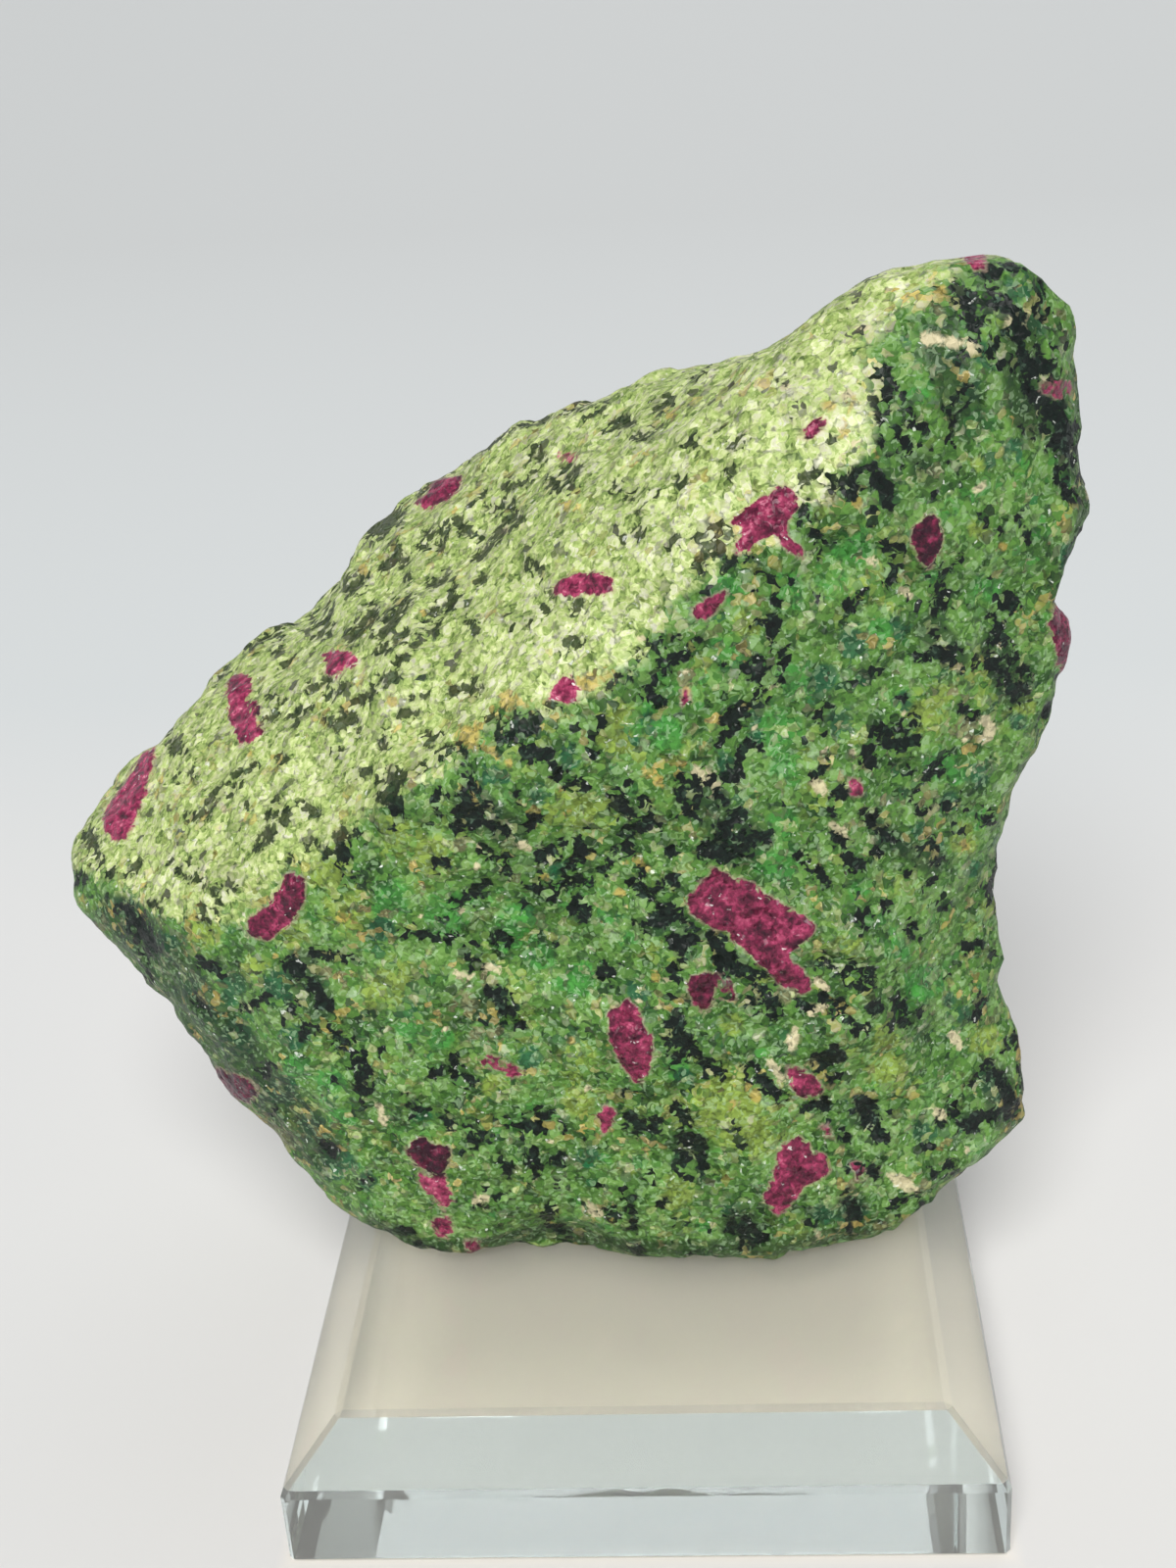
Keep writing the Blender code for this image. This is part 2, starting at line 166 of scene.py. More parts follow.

# Every mark below is a radius, then the points of a spot (one) or of a stroke (several).

# black hornblende, and two thin strokes of painted shade along the upper rim
HORNBLENDE = (
    # left end of the upper face
    (7, 90, 850, 95, 864), (5, 100, 880), (8, 82, 896), (3, 113, 892), (4, 98, 870),
    (4, 134, 892, 140, 881), (9, 128, 932, 143, 948, 153, 968), (6, 155, 922), (8, 152, 971),
    (6, 197, 833, 208, 827), (4, 215, 813, 239, 804), (8, 178, 762), (5, 187, 765),
    (4, 183, 793, 195, 787), (6, 190, 893, 198, 888), (5, 205, 900), (3, 195, 880), (3, 219, 907),
    (3, 232, 908), (3, 238, 899, 243, 895), (5, 208, 924), (5, 216, 931), (5, 205, 936), (4, 213, 941),
    (3, 224, 920), (4, 243, 790, 262, 781), (5, 286, 772), (4, 253, 822), (4, 283, 815),
    (3, 272, 835, 284, 829), (4, 287, 838, 296, 829), (7, 278, 847), (6, 270, 856), (4, 263, 862),
    (4, 309, 823, 320, 828), (5, 316, 858), (8, 345, 853, 350, 873), (5, 331, 870), (4, 297, 879),
    (4, 176, 881), (2, 266, 705, 288, 716), (5, 272, 738, 280, 728), (4, 300, 737, 306, 724),
    (4, 315, 720), (5, 318, 703, 333, 694), (6, 343, 703, 350, 700), (3, 336, 712),
    (4, 362, 717, 378, 710), (3, 382, 705), (9, 346, 738, 358, 734), (5, 352, 726), (4, 337, 738),
    (3, 366, 745), (5, 390, 750, 391, 762), (4, 343, 768), (4, 362, 792, 372, 786),
    (7, 325, 645, 332, 637), (3, 335, 648), (3, 343, 632), (3, 318, 635), (5, 284, 652), (4, 283, 663),
    (4, 298, 638), (2, 220, 695, 232, 680), (2, 255, 662, 300, 627), (7, 352, 600, 368, 593),
    (5, 381, 622, 372, 636, 357, 652), (6, 402, 624, 417, 612), (7, 388, 646, 400, 632),
    (6, 402, 652, 412, 645), (4, 420, 658, 428, 652), (5, 386, 664, 394, 659), (4, 405, 675, 414, 670),
    (6, 392, 694, 400, 690), (3, 429, 690), (7, 405, 563, 411, 570), (3, 416, 590),
    # middle of the upper face
    (5, 420, 712), (4, 409, 728, 424, 726), (5, 432, 710), (4, 434, 757, 441, 753), (2, 450, 752),
    (5, 464, 705, 490, 700), (5, 390, 795, 398, 787), (5, 398, 798), (6, 391, 815, 398, 807),
    (7, 401, 820, 404, 831), (4, 411, 793), (3, 424, 788, 431, 781), (9, 386, 541, 402, 523),
    (4, 433, 556), (5, 449, 556), (5, 440, 545, 455, 537), (5, 468, 534, 480, 545),
    (4, 443, 597, 457, 588), (4, 463, 598), (7, 447, 623, 458, 614), (4, 434, 640), (6, 442, 640),
    (5, 473, 613), (5, 490, 592), (4, 478, 635), (5, 485, 643), (6, 489, 569, 496, 557),
    (5, 500, 550, 514, 540), (5, 518, 532, 528, 528), (5, 504, 519, 518, 513), (4, 480, 514),
    (3, 492, 505), (4, 518, 497, 535, 491), (5, 545, 478), (5, 546, 460, 552, 466),
    (6, 562, 492, 572, 497), (5, 583, 496), (6, 580, 485, 590, 477), (5, 629, 495), (2, 642, 507),
    (3, 651, 518), (3, 668, 504), (5, 543, 576, 549, 584), (4, 560, 605), (4, 558, 621), (8, 587, 618),
    (3, 524, 638), (3, 541, 634), (4, 576, 660, 584, 652), (3, 592, 656), (4, 622, 698, 637, 688),
    (3, 643, 678), (3, 617, 441), (6, 632, 433, 642, 430), (4, 651, 446, 666, 439),
    (5, 669, 417, 685, 407), (3, 600, 424, 616, 416), (3, 576, 421, 604, 409), (3, 702, 453, 709, 450),
    (4, 695, 488, 697, 494), (5, 715, 384, 722, 382), (4, 797, 387, 802, 384), (5, 745, 455, 752, 452),
    (3, 757, 452, 762, 446), (3, 745, 477, 748, 482), (3, 750, 487), (2, 729, 442, 737, 435),
    (4, 843, 453, 848, 451), (2, 805, 428, 812, 424), (5, 648, 547, 652, 543), (3, 690, 549),
    # the last two thin strokes here are painted shade along the upper rim, where the surface turns away
    (3, 638, 550), (3, 684, 557), (2, 430, 503, 470, 470, 505, 450), (2, 520, 440, 560, 425),
    # round the star ruby and the ledge
    (6, 713, 551, 719, 545), (6, 723, 539, 733, 536), (8, 727, 556), (5, 735, 562), (7, 742, 546),
    (4, 748, 536), (4, 722, 566), (6, 716, 577), (4, 740, 580), (3, 750, 571, 765, 570), (5, 777, 589),
    (4, 770, 601), (5, 791, 612), (4, 835, 611), (6, 867, 617, 880, 609),
    (4, 815, 490, 830, 485, 845, 486), (4, 851, 497, 862, 487), (6, 878, 476, 872, 492, 865, 504),
    (7, 819, 516, 820, 529), (5, 831, 541, 834, 550, 829, 564), (3, 812, 500),
    # horn
    (3, 880, 283, 905, 271), (8, 981, 290, 987, 312, 993, 336), (4, 975, 308), (5, 1008, 274, 1014, 276),
    (6, 1002, 308, 1012, 314), (7, 1022, 304, 1027, 312), (6, 1030, 284), (5, 1047, 288), (5, 1060, 296),
    (4, 1062, 310), (6, 1022, 335, 1034, 343), (6, 1041, 332, 1043, 346), (4, 1055, 345),
    (4, 1004, 361, 1018, 352), (6, 977, 370, 990, 361), (4, 1076, 355),
    (9, 1041, 368, 1056, 371, 1070, 377), (8, 1048, 386, 1054, 398), (5, 1060, 408),
    (12, 1071, 421, 1086, 432, 1088, 455), (9, 1075, 455), (7, 1096, 445), (5, 1046, 440, 1066, 442),
    (5, 1101, 452, 1107, 485), (6, 1079, 478, 1085, 494, 1097, 508), (6, 894, 379, 906, 391),
    (4, 904, 369), (7, 893, 411, 904, 424), (4, 922, 408, 923, 424), (5, 924, 429, 946, 441),
    (7, 915, 445, 926, 455), (4, 903, 452), (6, 915, 466), (4, 896, 448, 912, 470), (4, 920, 482),
    (7, 897, 488, 903, 500, 909, 508), (4, 908, 515), (3, 967, 415, 973, 440, 966, 462),
    (5, 985, 401, 980, 414), (4, 970, 467), (3, 938, 477), (3, 1018, 543), (3, 950, 385), (3, 935, 335),
    # right of the front, upper part
    (7, 905, 558, 916, 566), (4, 913, 575), (5, 918, 581, 909, 593), (5, 968, 581, 978, 573),
    (7, 963, 599, 956, 617), (4, 955, 625), (7, 1028, 611, 1037, 614), (4, 1033, 622),
    (3, 1012, 630, 1018, 626), (5, 1018, 633, 1022, 650), (6, 950, 650, 955, 642),
    (3, 962, 641, 974, 648), (9, 955, 665, 967, 669), (5, 980, 665, 985, 672), (4, 984, 682),
    (5, 940, 667), (5, 1013, 657), (4, 1026, 655, 1032, 668), (9, 1010, 679, 1022, 685),
    (5, 1040, 684, 1046, 686), (7, 1026, 698, 1040, 705), (5, 1035, 715), (5, 984, 723, 990, 728),
    (3, 1090, 575, 1097, 563, 1105, 546), (3, 1043, 528, 1045, 545, 1049, 556), (3, 1080, 690, 1082, 700),
    (5, 668, 656, 673, 650), (5, 692, 652), (6, 678, 675, 696, 666), (4, 678, 685), (5, 652, 672),
    (7, 660, 701, 665, 711), (4, 675, 719), (4, 739, 679), (7, 762, 683, 774, 676),
    (4, 769, 691, 776, 697), (5, 786, 649, 791, 657), (6, 800, 662, 796, 688), (5, 773, 637, 789, 634),
    (4, 714, 654),
    # middle of the front
    (5, 505, 733, 509, 755), (9, 516, 748, 542, 740), (6, 532, 728), (5, 556, 726, 568, 718),
    (8, 534, 770, 545, 766, 556, 768), (2, 447, 770, 470, 762), (6, 474, 767), (4, 490, 763),
    (6, 475, 785, 480, 806), (9, 475, 814), (10, 470, 830), (11, 487, 833), (8, 497, 822), (8, 467, 845),
    (8, 479, 840), (6, 497, 839, 515, 850), (6, 540, 841, 549, 837), (4, 489, 868, 499, 872),
    (4, 444, 879, 457, 884), (6, 516, 875, 518, 892), (6, 477, 915, 494, 906), (4, 465, 920),
    (6, 543, 905), (5, 551, 912), (4, 537, 900), (8, 552, 871, 564, 868), (7, 575, 862), (7, 590, 860),
    (8, 597, 871), (8, 581, 885), (7, 590, 896), (5, 601, 898), (8, 574, 905), (5, 563, 912),
    (9, 585, 925), (8, 597, 933), (3, 604, 939), (7, 620, 878), (6, 629, 869), (7, 640, 865),
    (5, 616, 886), (4, 630, 855), (5, 564, 781, 572, 793), (6, 575, 795, 586, 801), (4, 597, 803),
    (3, 603, 760, 606, 770), (5, 530, 812), (8, 632, 820, 640, 830), (8, 641, 846, 664, 840),
    (4, 656, 816, 663, 829), (4, 625, 812), (3, 640, 797), (7, 655, 893), (8, 652, 906), (6, 661, 915),
    (5, 645, 900), (5, 672, 902), (7, 687, 899), (11, 669, 942, 683, 932), (4, 645, 942), (10, 690, 962),
    (9, 704, 960), (7, 697, 972), (5, 702, 946), (10, 731, 961, 742, 984), (6, 686, 867),
    (6, 719, 870, 735, 860), (5, 694, 793, 705, 797), (9, 698, 810), (9, 711, 806), (6, 716, 816),
    (5, 698, 820), (8, 707, 831), (4, 728, 797, 741, 798), (5, 732, 809, 740, 820),
    (8, 741, 735, 762, 724), (5, 770, 717, 782, 707), (7, 742, 747), (5, 736, 757, 750, 743),
    (7, 764, 757, 776, 762), (5, 757, 770), (4, 754, 782, 756, 795), (9, 741, 845, 756, 833),
    (8, 758, 850), (8, 764, 857, 782, 852), (7, 720, 867, 745, 874, 764, 863), (8, 512, 958),
    (6, 447, 958, 460, 960), (5, 410, 951, 430, 952), (3, 567, 965), (3, 470, 969, 478, 979),
    (4, 478, 985, 490, 984), (5, 401, 838, 404, 820), (4, 441, 815, 449, 809), (3, 450, 830),
    (3, 365, 848), (4, 357, 898, 368, 894),
    # right of the front, lower part
    (5, 836, 735, 842, 723), (3, 840, 750), (3, 845, 772), (2, 829, 791, 840, 783),
    (7, 847, 815, 859, 807), (6, 850, 826), (3, 880, 775), (5, 890, 757, 884, 780), (8, 893, 752),
    (7, 905, 745), (6, 919, 745, 932, 738), (7, 906, 762, 929, 756), (4, 925, 786), (4, 920, 712),
    (4, 934, 812, 945, 798, 960, 778, 968, 770), (4, 925, 811), (6, 941, 825), (7, 966, 822),
    (5, 1001, 829, 1009, 838), (6, 885, 832, 897, 845, 909, 857), (5, 895, 868), (5, 851, 851, 862, 863),
    (6, 863, 875, 879, 885), (5, 819, 884, 834, 889, 841, 898), (5, 815, 872), (5, 926, 891),
    (7, 951, 863), (7, 957, 880), (6, 950, 902), (4, 940, 867), (5, 1008, 904, 1014, 914), (7, 874, 937),
    (7, 886, 931), (6, 880, 946), (4, 901, 921, 906, 930), (5, 928, 945, 932, 955), (6, 965, 925),
    (6, 746, 986, 768, 991, 788, 1000), (5, 682, 986, 692, 998), (9, 766, 1025), (9, 783, 1017),
    (7, 790, 1031), (6, 776, 1008), (6, 840, 979, 852, 989), (4, 832, 990), (5, 870, 985), (7, 887, 991),
    (7, 884, 1005), (4, 865, 1000), (4, 840, 1018), (4, 816, 1023, 826, 1029), (7, 853, 1026),
    (6, 851, 1040), (8, 863, 1041, 881, 1049), (8, 890, 1030), (6, 917, 1022, 920, 1043), (5, 911, 1046),
    (4, 942, 1033), (5, 983, 963, 989, 969), (4, 1003, 965), (5, 1000, 1017, 997, 1040),
    (9, 839, 1084, 854, 1076), (6, 850, 1097), (5, 821, 1130, 845, 1126),
    (9, 882, 1124, 890, 1142, 897, 1160), (6, 862, 1160), (7, 867, 1190, 888, 1195),
    (6, 866, 1224, 873, 1236, 870, 1250), (9, 690, 1043), (7, 683, 1057), (10, 695, 1064), (9, 690, 1080),
    (4, 705, 1069, 720, 1085, 734, 1095), (6, 764, 1092, 781, 1105, 794, 1118), (5, 691, 1131, 698, 1144),
    (8, 701, 1163), (9, 713, 1172), (8, 714, 1185), (8, 698, 1181), (9, 667, 1149), (6, 656, 1146),
    (4, 675, 1232), (9, 745, 1250), (10, 760, 1252), (7, 774, 1260), (8, 757, 1268), (5, 958, 1146),
    (6, 970, 1129, 979, 1144), (8, 986, 1150, 1007, 1140),
    (8, 1006, 1091, 1020, 1101, 1031, 1118, 1030, 1134), (4, 990, 1108), (5, 952, 1195), (6, 971, 1191),
    (6, 936, 1224, 942, 1231), (4, 926, 1225), (3, 1045, 1092, 1049, 1114), (3, 1013, 975),
    # left and foot of the front
    (5, 206, 981, 221, 985), (5, 262, 1022, 275, 1018), (7, 297, 1030), (5, 250, 1028),
    (4, 200, 1021, 211, 1034), (7, 312, 1053), (5, 331, 1047), (8, 270, 1094), (7, 345, 1060, 357, 1068),
    (8, 368, 1086, 372, 1108), (7, 331, 1168, 340, 1172), (5, 278, 1132), (7, 317, 1002, 330, 1026),
    (8, 298, 985, 308, 994), (5, 318, 973, 332, 975), (2, 335, 976, 362, 979), (4, 392, 1077),
    (4, 415, 1118, 421, 1129), (4, 443, 1095), (7, 500, 1012, 517, 1021), (8, 521, 1031), (6, 530, 1046),
    (4, 515, 1045), (5, 612, 992, 633, 987), (5, 624, 1002), (4, 462, 1079, 466, 1092),
    (5, 471, 1099, 482, 1105), (4, 449, 1141, 465, 1149), (7, 480, 1157, 484, 1163), (5, 517, 1145),
    (7, 536, 1146, 549, 1148), (6, 547, 1141, 561, 1135), (4, 572, 1150), (5, 514, 1184, 520, 1196),
    (7, 544, 1181, 547, 1199), (5, 560, 1183, 574, 1180), (4, 490, 1230), (2, 503, 1225, 519, 1220),
    (5, 562, 1231, 560, 1247), (5, 566, 1253, 581, 1259), (4, 565, 1209), (4, 616, 1236, 631, 1239),
    (3, 640, 1226, 649, 1244), (5, 646, 1253), (8, 642, 1141, 655, 1154), (3, 655, 1122), (4, 640, 1113),
    (4, 610, 1210), (4, 677, 1228), (4, 600, 1158), (5, 373, 1205), (6, 662, 1202),
)

# coloured zones and stains; the first two are painted light: a painted highlight that whitens the pale
# upper face, and painted shade that darkens the greens
TONES = {
    # painted highlight on the pale upper face, where it tilts towards the light
    "painted_highlight": (
        (60, 800, 420, 850, 400, 880, 450), (45, 640, 560, 730, 540), (45, 520, 690, 600, 640),
        (40, 930, 300, 900, 330), (30, 830, 510, 850, 480)),
    # mostly painted shade: faces turned from the light, the horn's dark side, the rims and the line of the
    # foot, with a few darker patches of rock on the front
    "painted_shade": (
        (24, 120, 930, 160, 975, 200, 1020, 240, 1070, 270, 1110, 330, 1170), (20, 480, 820, 520, 850),
        (24, 720, 820, 760, 860), (18, 305, 985, 325, 1025), (20, 1050, 370, 1085, 450), (14, 1095, 480),
        (16, 950, 640, 975, 670), (18, 1015, 660, 1035, 705), (14, 900, 850, 950, 880),
        (18, 1015, 1100, 1030, 1140), (12, 990, 1145), (22, 755, 1250), (18, 870, 1230), (16, 880, 1140),
        (18, 702, 1170), (20, 500, 1025), (24, 960, 350, 990, 430), (24, 1040, 340, 1050, 420),
        (18, 940, 480), (30, 170, 985, 250, 1100),
        (8, 380, 1245, 430, 1272, 500, 1270, 560, 1255, 640, 1272, 780, 1275, 900, 1250),
        (8, 1103, 380, 1110, 480, 1104, 560), (8, 1045, 1060, 1050, 1110, 1035, 1150)),
    "lime": (
        (28, 330, 880), (28, 400, 855), (24, 440, 872), (32, 355, 930), (22, 300, 950), (24, 215, 950),
        (18, 262, 985), (34, 395, 1000), (28, 565, 826, 612, 832), (34, 640, 750), (20, 690, 765),
        (26, 590, 1085), (22, 590, 1120), (36, 735, 1120, 760, 1150), (18, 745, 1045), (26, 905, 1092),
        (16, 905, 1060), (24, 945, 730), (22, 690, 1215), (18, 640, 1185), (20, 485, 575), (24, 640, 482),
        (16, 520, 560), (14, 1000, 540), (14, 1045, 720), (16, 960, 710), (16, 985, 862), (10, 985, 845),
        (12, 1010, 925), (14, 990, 940), (18, 1005, 1060), (18, 760, 640), (16, 230, 885), (14, 290, 870),
        (14, 670, 600), (16, 520, 680), (12, 455, 655), (10, 863, 736), (10, 1000, 470), (12, 1015, 590),
        (14, 870, 965), (12, 820, 1260), (14, 900, 300), (12, 610, 545), (14, 500, 1110), (10, 935, 1110)),
    "vivid": (
        (28, 400, 920), (30, 450, 935), (32, 530, 950), (22, 420, 1045), (22, 745, 600), (22, 740, 660),
        (26, 800, 600), (26, 870, 560), (24, 850, 590), (26, 790, 740), (24, 800, 785), (22, 680, 750),
        (16, 650, 740), (24, 815, 700), (26, 800, 880), (18, 780, 880), (16, 800, 840), (24, 940, 1000),
        (18, 920, 970), (20, 960, 780), (12, 975, 790), (14, 880, 905), (20, 590, 1000), (20, 550, 975),
        (14, 640, 960), (16, 300, 1090), (18, 340, 1105), (16, 350, 1140), (20, 995, 435), (14, 940, 400),
        (12, 605, 458), (10, 690, 466), (14, 570, 600), (12, 357, 816), (12, 660, 725), (16, 690, 1090),
        (12, 720, 1250), (14, 620, 935), (12, 950, 590), (16, 1010, 600), (14, 450, 1060),
        (12, 1040, 470), (10, 555, 530), (16, 900, 640)),
    "teal": (
        (18, 130, 920), (20, 170, 965), (22, 200, 1005), (22, 235, 1010), (24, 240, 1060),
        (22, 280, 1010), (16, 300, 1060), (14, 210, 1040), (18, 288, 1112), (16, 320, 1150),
        (20, 345, 1185), (14, 500, 790), (12, 505, 830), (14, 490, 810), (14, 550, 810), (18, 580, 772),
        (14, 742, 780), (16, 742, 868), (8, 770, 730, 772, 755), (16, 1030, 460), (12, 1010, 470),
        (12, 1000, 362), (12, 972, 372), (14, 1055, 330), (16, 1040, 300), (12, 1060, 290),
        (12, 990, 400), (14, 915, 640), (20, 870, 655), (14, 925, 715), (14, 840, 690), (18, 860, 740),
        (12, 970, 820), (18, 1000, 790), (12, 1040, 735), (12, 900, 850), (12, 940, 850), (10, 960, 865),
        (10, 992, 887), (12, 1000, 1020), (12, 970, 1020), (12, 700, 1100), (16, 390, 950),
        (14, 540, 1080), (18, 870, 1240), (12, 840, 1240), (18, 1012, 1110), (12, 1032, 1140),
        (14, 940, 1155), (8, 660, 730), (8, 515, 793), (14, 745, 1232), (12, 690, 1185), (10, 375, 1205),
        (14, 570, 888), (10, 1085, 565), (12, 1090, 490), (8, 1018, 860), (10, 740, 1000),
        (14, 650, 1010), (12, 430, 545), (10, 395, 555), (10, 300, 640), (12, 600, 1180), (10, 985, 1035)),
    "beige": (
        (16, 478, 1024), (12, 500, 1002), (14, 505, 1052), (10, 485, 1055), (16, 848, 508),
        (10, 852, 530), (10, 842, 770), (9, 870, 770), (9, 856, 790), (10, 876, 804), (8, 886, 785),
        (14, 990, 742), (14, 1076, 396), (12, 950, 300), (14, 958, 318), (9, 940, 312), (12, 810, 1064),
        (10, 830, 1030), (9, 830, 1080), (8, 846, 1106), (12, 860, 1174), (10, 846, 1162),
        (10, 886, 1205), (10, 870, 1212), (12, 700, 690), (9, 700, 710), (10, 530, 733), (10, 482, 766),
        (10, 470, 862), (14, 348, 1000), (10, 332, 992), (14, 800, 1018), (12, 768, 1012),
        (10, 702, 1174), (8, 138, 895), (9, 232, 828), (10, 882, 368), (10, 873, 328), (8, 1091, 380),
        (8, 600, 1234), (8, 490, 1227), (12, 260, 1140, 300, 1165), (9, 960, 545, 958, 575),
        (8, 1020, 662), (9, 840, 1150), (8, 395, 785), (8, 105, 945), (8, 888, 400), (7, 925, 586),
        (10, 940, 1210), (8, 700, 1020), (7, 190, 748), (7, 215, 718), (8, 255, 770), (7, 395, 610)),
    "ochre": (
        (16, 476, 750), (12, 520, 716), (9, 536, 720), (14, 600, 695), (10, 620, 690), (10, 662, 788),
        (8, 672, 796), (8, 668, 997), (6, 583, 1062), (4, 744, 1075), (9, 772, 1117), (6, 255, 768),
        (8, 865, 425), (9, 862, 440), (8, 870, 412), (5, 895, 465), (5, 875, 513), (4, 888, 497),
        (9, 425, 885), (8, 430, 896), (6, 420, 800), (5, 280, 976), (6, 370, 582), (8, 505, 770),
        (8, 655, 884), (7, 633, 912), (5, 640, 880), (8, 350, 935), (5, 1020, 556), (5, 1026, 562),
        (7, 960, 298), (9, 985, 863), (5, 620, 1066), (5, 697, 780), (5, 510, 1068), (5, 427, 1196),
        (6, 565, 1250), (6, 580, 828), (5, 573, 806), (5, 432, 625), (6, 700, 706), (8, 845, 415),
        (6, 555, 895), (6, 745, 1130), (7, 400, 715), (6, 520, 778)),
    "emerald": (
        (4, 881, 537, 890, 556, 901, 570), (8, 953, 364), (9, 424, 1136, 438, 1140), (7, 703, 592),
        (5, 701, 580), (6, 662, 726), (8, 513, 796), (6, 566, 888), (6, 630, 933), (5, 605, 458),
        (5, 690, 465), (5, 558, 530), (5, 720, 650), (8, 868, 1055), (8, 222, 1014), (6, 1002, 1008),
        (5, 357, 817), (5, 965, 1004), (5, 1026, 466), (5, 985, 368), (4, 740, 558), (5, 585, 782),
        (5, 235, 1026), (5, 945, 1000), (5, 905, 556), (5, 500, 1122), (4, 1010, 612)),
    "cream": (
        (6, 945, 347, 960, 346, 978, 344, 992, 357), (6, 1031, 324, 1040, 320), (5, 1072, 337),
        (5, 921, 600, 926, 610), (6, 710, 787, 722, 793, 730, 806), (7, 832, 798, 838, 806),
        (6, 850, 843, 860, 850), (6, 1003, 733, 1012, 745, 1006, 754), (4, 984, 756), (4, 925, 727),
        (5, 465, 992, 478, 996), (5, 497, 987, 508, 990), (5, 388, 1130, 391, 1146),
        (5, 485, 1225, 496, 1222), (5, 600, 1233, 612, 1240), (6, 911, 1200, 922, 1208, 932, 1214),
        (6, 957, 1134, 962, 1140), (5, 972, 1056, 980, 1066), (5, 785, 1083, 797, 1100),
        (5, 812, 1050, 806, 1068), (5, 834, 1001, 844, 1009), (4, 828, 1034, 842, 1026),
        (4, 1110, 497, 1112, 507), (4, 976, 681), (4, 843, 765), (4, 870, 766), (4, 418, 796),
        (4, 455, 1050), (5, 487, 884), (4, 489, 865), (6, 533, 862), (5, 540, 866), (4, 700, 686),
        (4, 1022, 660), (4, 746, 848), (4, 138, 900), (4, 228, 826), (5, 655, 652), (5, 515, 541),
        (4, 886, 571, 896, 576), (5, 865, 405), (5, 855, 465), (4, 878, 335), (4, 800, 395),
        (5, 872, 450), (4, 985, 1172), (4, 652, 1022), (3, 1000, 497), (3, 955, 471), (4, 470, 930),
        (3, 430, 935), (4, 680, 1000), (4, 650, 1270), (3, 835, 1262), (4, 560, 1165), (4, 545, 1205),
        (4, 790, 702), (4, 770, 742), (4, 600, 1110)),
}
FIELD_LIMIT = 4.0  # mm, where a distance stops being counted
MARK_MARGIN = 3.0  # mm past a mark that still takes its field
MARK_SLANT = 1.8  # how far a slanting face stretches a mark
TONE_EDGE = (0.3, 1.3)  # radii over which a tone fades out
SIGHT_LIFT = 0.4  # mm off the surface where a line of sight starts

# the pale upper face, partly a weathered crust and partly painted light from above, its outline run past
# the lump's on the far side
WEATHERED_AND_TOP_LIT = (
    (60, 895), (105, 893), (140, 922), (190, 948), (245, 952), (262, 930), (300, 885), (345, 868),
    (385, 828), (430, 795), (470, 757), (520, 722), (560, 722), (610, 712), (660, 668), (700, 612),
    (740, 588), (770, 566), (812, 560), (828, 520), (868, 498), (892, 455), (888, 405), (882, 360),
    (905, 325), (950, 290), (990, 250), (800, 150), (300, 450), (20, 850))
WEATHERED_AND_TOP_LIT_SOFTNESS = 3.0  # mm
WEATHERED_AND_TOP_LIT_LEVEL = (0.1, 0.45)  # how far up a face looks, from none to full
FAR_WEATHERED_AND_TOP_LIT_LEVEL = (0.3, 0.65)  # the same for the side away from the camera
NEAR_SIDE = (-0.15, 0.1)  # how far a face turns to the camera, far to near

# ---------------------------------------------------------------- marks nobody sees in the photo
HIDDEN_SEED = 11
HIDDEN_RUBIES = 30
HIDDEN_RUBY_LENGTH = (1.3, 5.0)  # mm, from the middle to an end
HIDDEN_RUBY_WIDTH = (0.35, 0.6)  # of its length
HIDDEN_RUBY_THICKNESS = 0.5
HIDDEN_RUBY_STRENGTHS = (0.5, 0.8, 1.0, 1.0)
HIDDEN_DARK_CLUSTERS = 210
HIDDEN_CLUSTER_SPREAD = (1.0, 4.0)  # mm
HIDDEN_CLUSTER_SPOTS = (3, 8)
HIDDEN_DARK_RADIUS = (0.5, 1.4)  # mm
HIDDEN_ZONES = 170
HIDDEN_TONES = ("lime", "vivid", "teal", "beige", "ochre", "emerald", "cream")
HIDDEN_SMALL_TONES = ("emerald", "cream")
HIDDEN_SMALL_RADIUS = (0.4, 1.0)  # mm
HIDDEN_TONE_RADIUS = (0.8, 3.2)  # mm

# ---------------------------------------------------------------- studio
SKY_COLOUR = (0.95, 0.98, 1.0)
SKY_AT_HORIZON = 0.6
SKY_OVERHEAD = 0.2
SKY_RISE = 0.55  # the height, on a unit sphere, where it is overhead
BACK_FROM = (0.2, 0.72, 0.72)
BACK_SPREAD = math.radians(70)
BACK_STRENGTH = 0.55
BACK_COLOUR = (0.97, 0.99, 1.0)
FRONT_FROM = (-0.053, -0.683, 0.731)  # its reflection fills the block's front bevel
FRONT_SPREAD = math.radians(33)
FRONT_STRENGTH = 3.4
FRONT_COLOUR = (1.0, 0.99, 0.97)
# the floor's tones by the larger of |x| and |y| in metres: painted light, warm and light under the block
# only, where light comes through the glass, and darker further out, where the light falls off
FLOOR_TONES_AND_PAINTED_LIGHT = (
    (0.034, (1.0, 0.91, 0.77)), (0.0375, (0.74, 0.725, 0.72)), (0.2, (0.615, 0.64, 0.65)),
    (0.7, (0.545, 0.56, 0.565)))
FLOOR_ROUGHNESS = 0.6
FLOOR_SPECULAR = 0.2
FLOOR_RADIUS = 4.0
FLOOR_SIDES = 96
FLOOR_DROP = 0.1 * MM  # the thin film of air under the block


# ================================================================ camera geometry

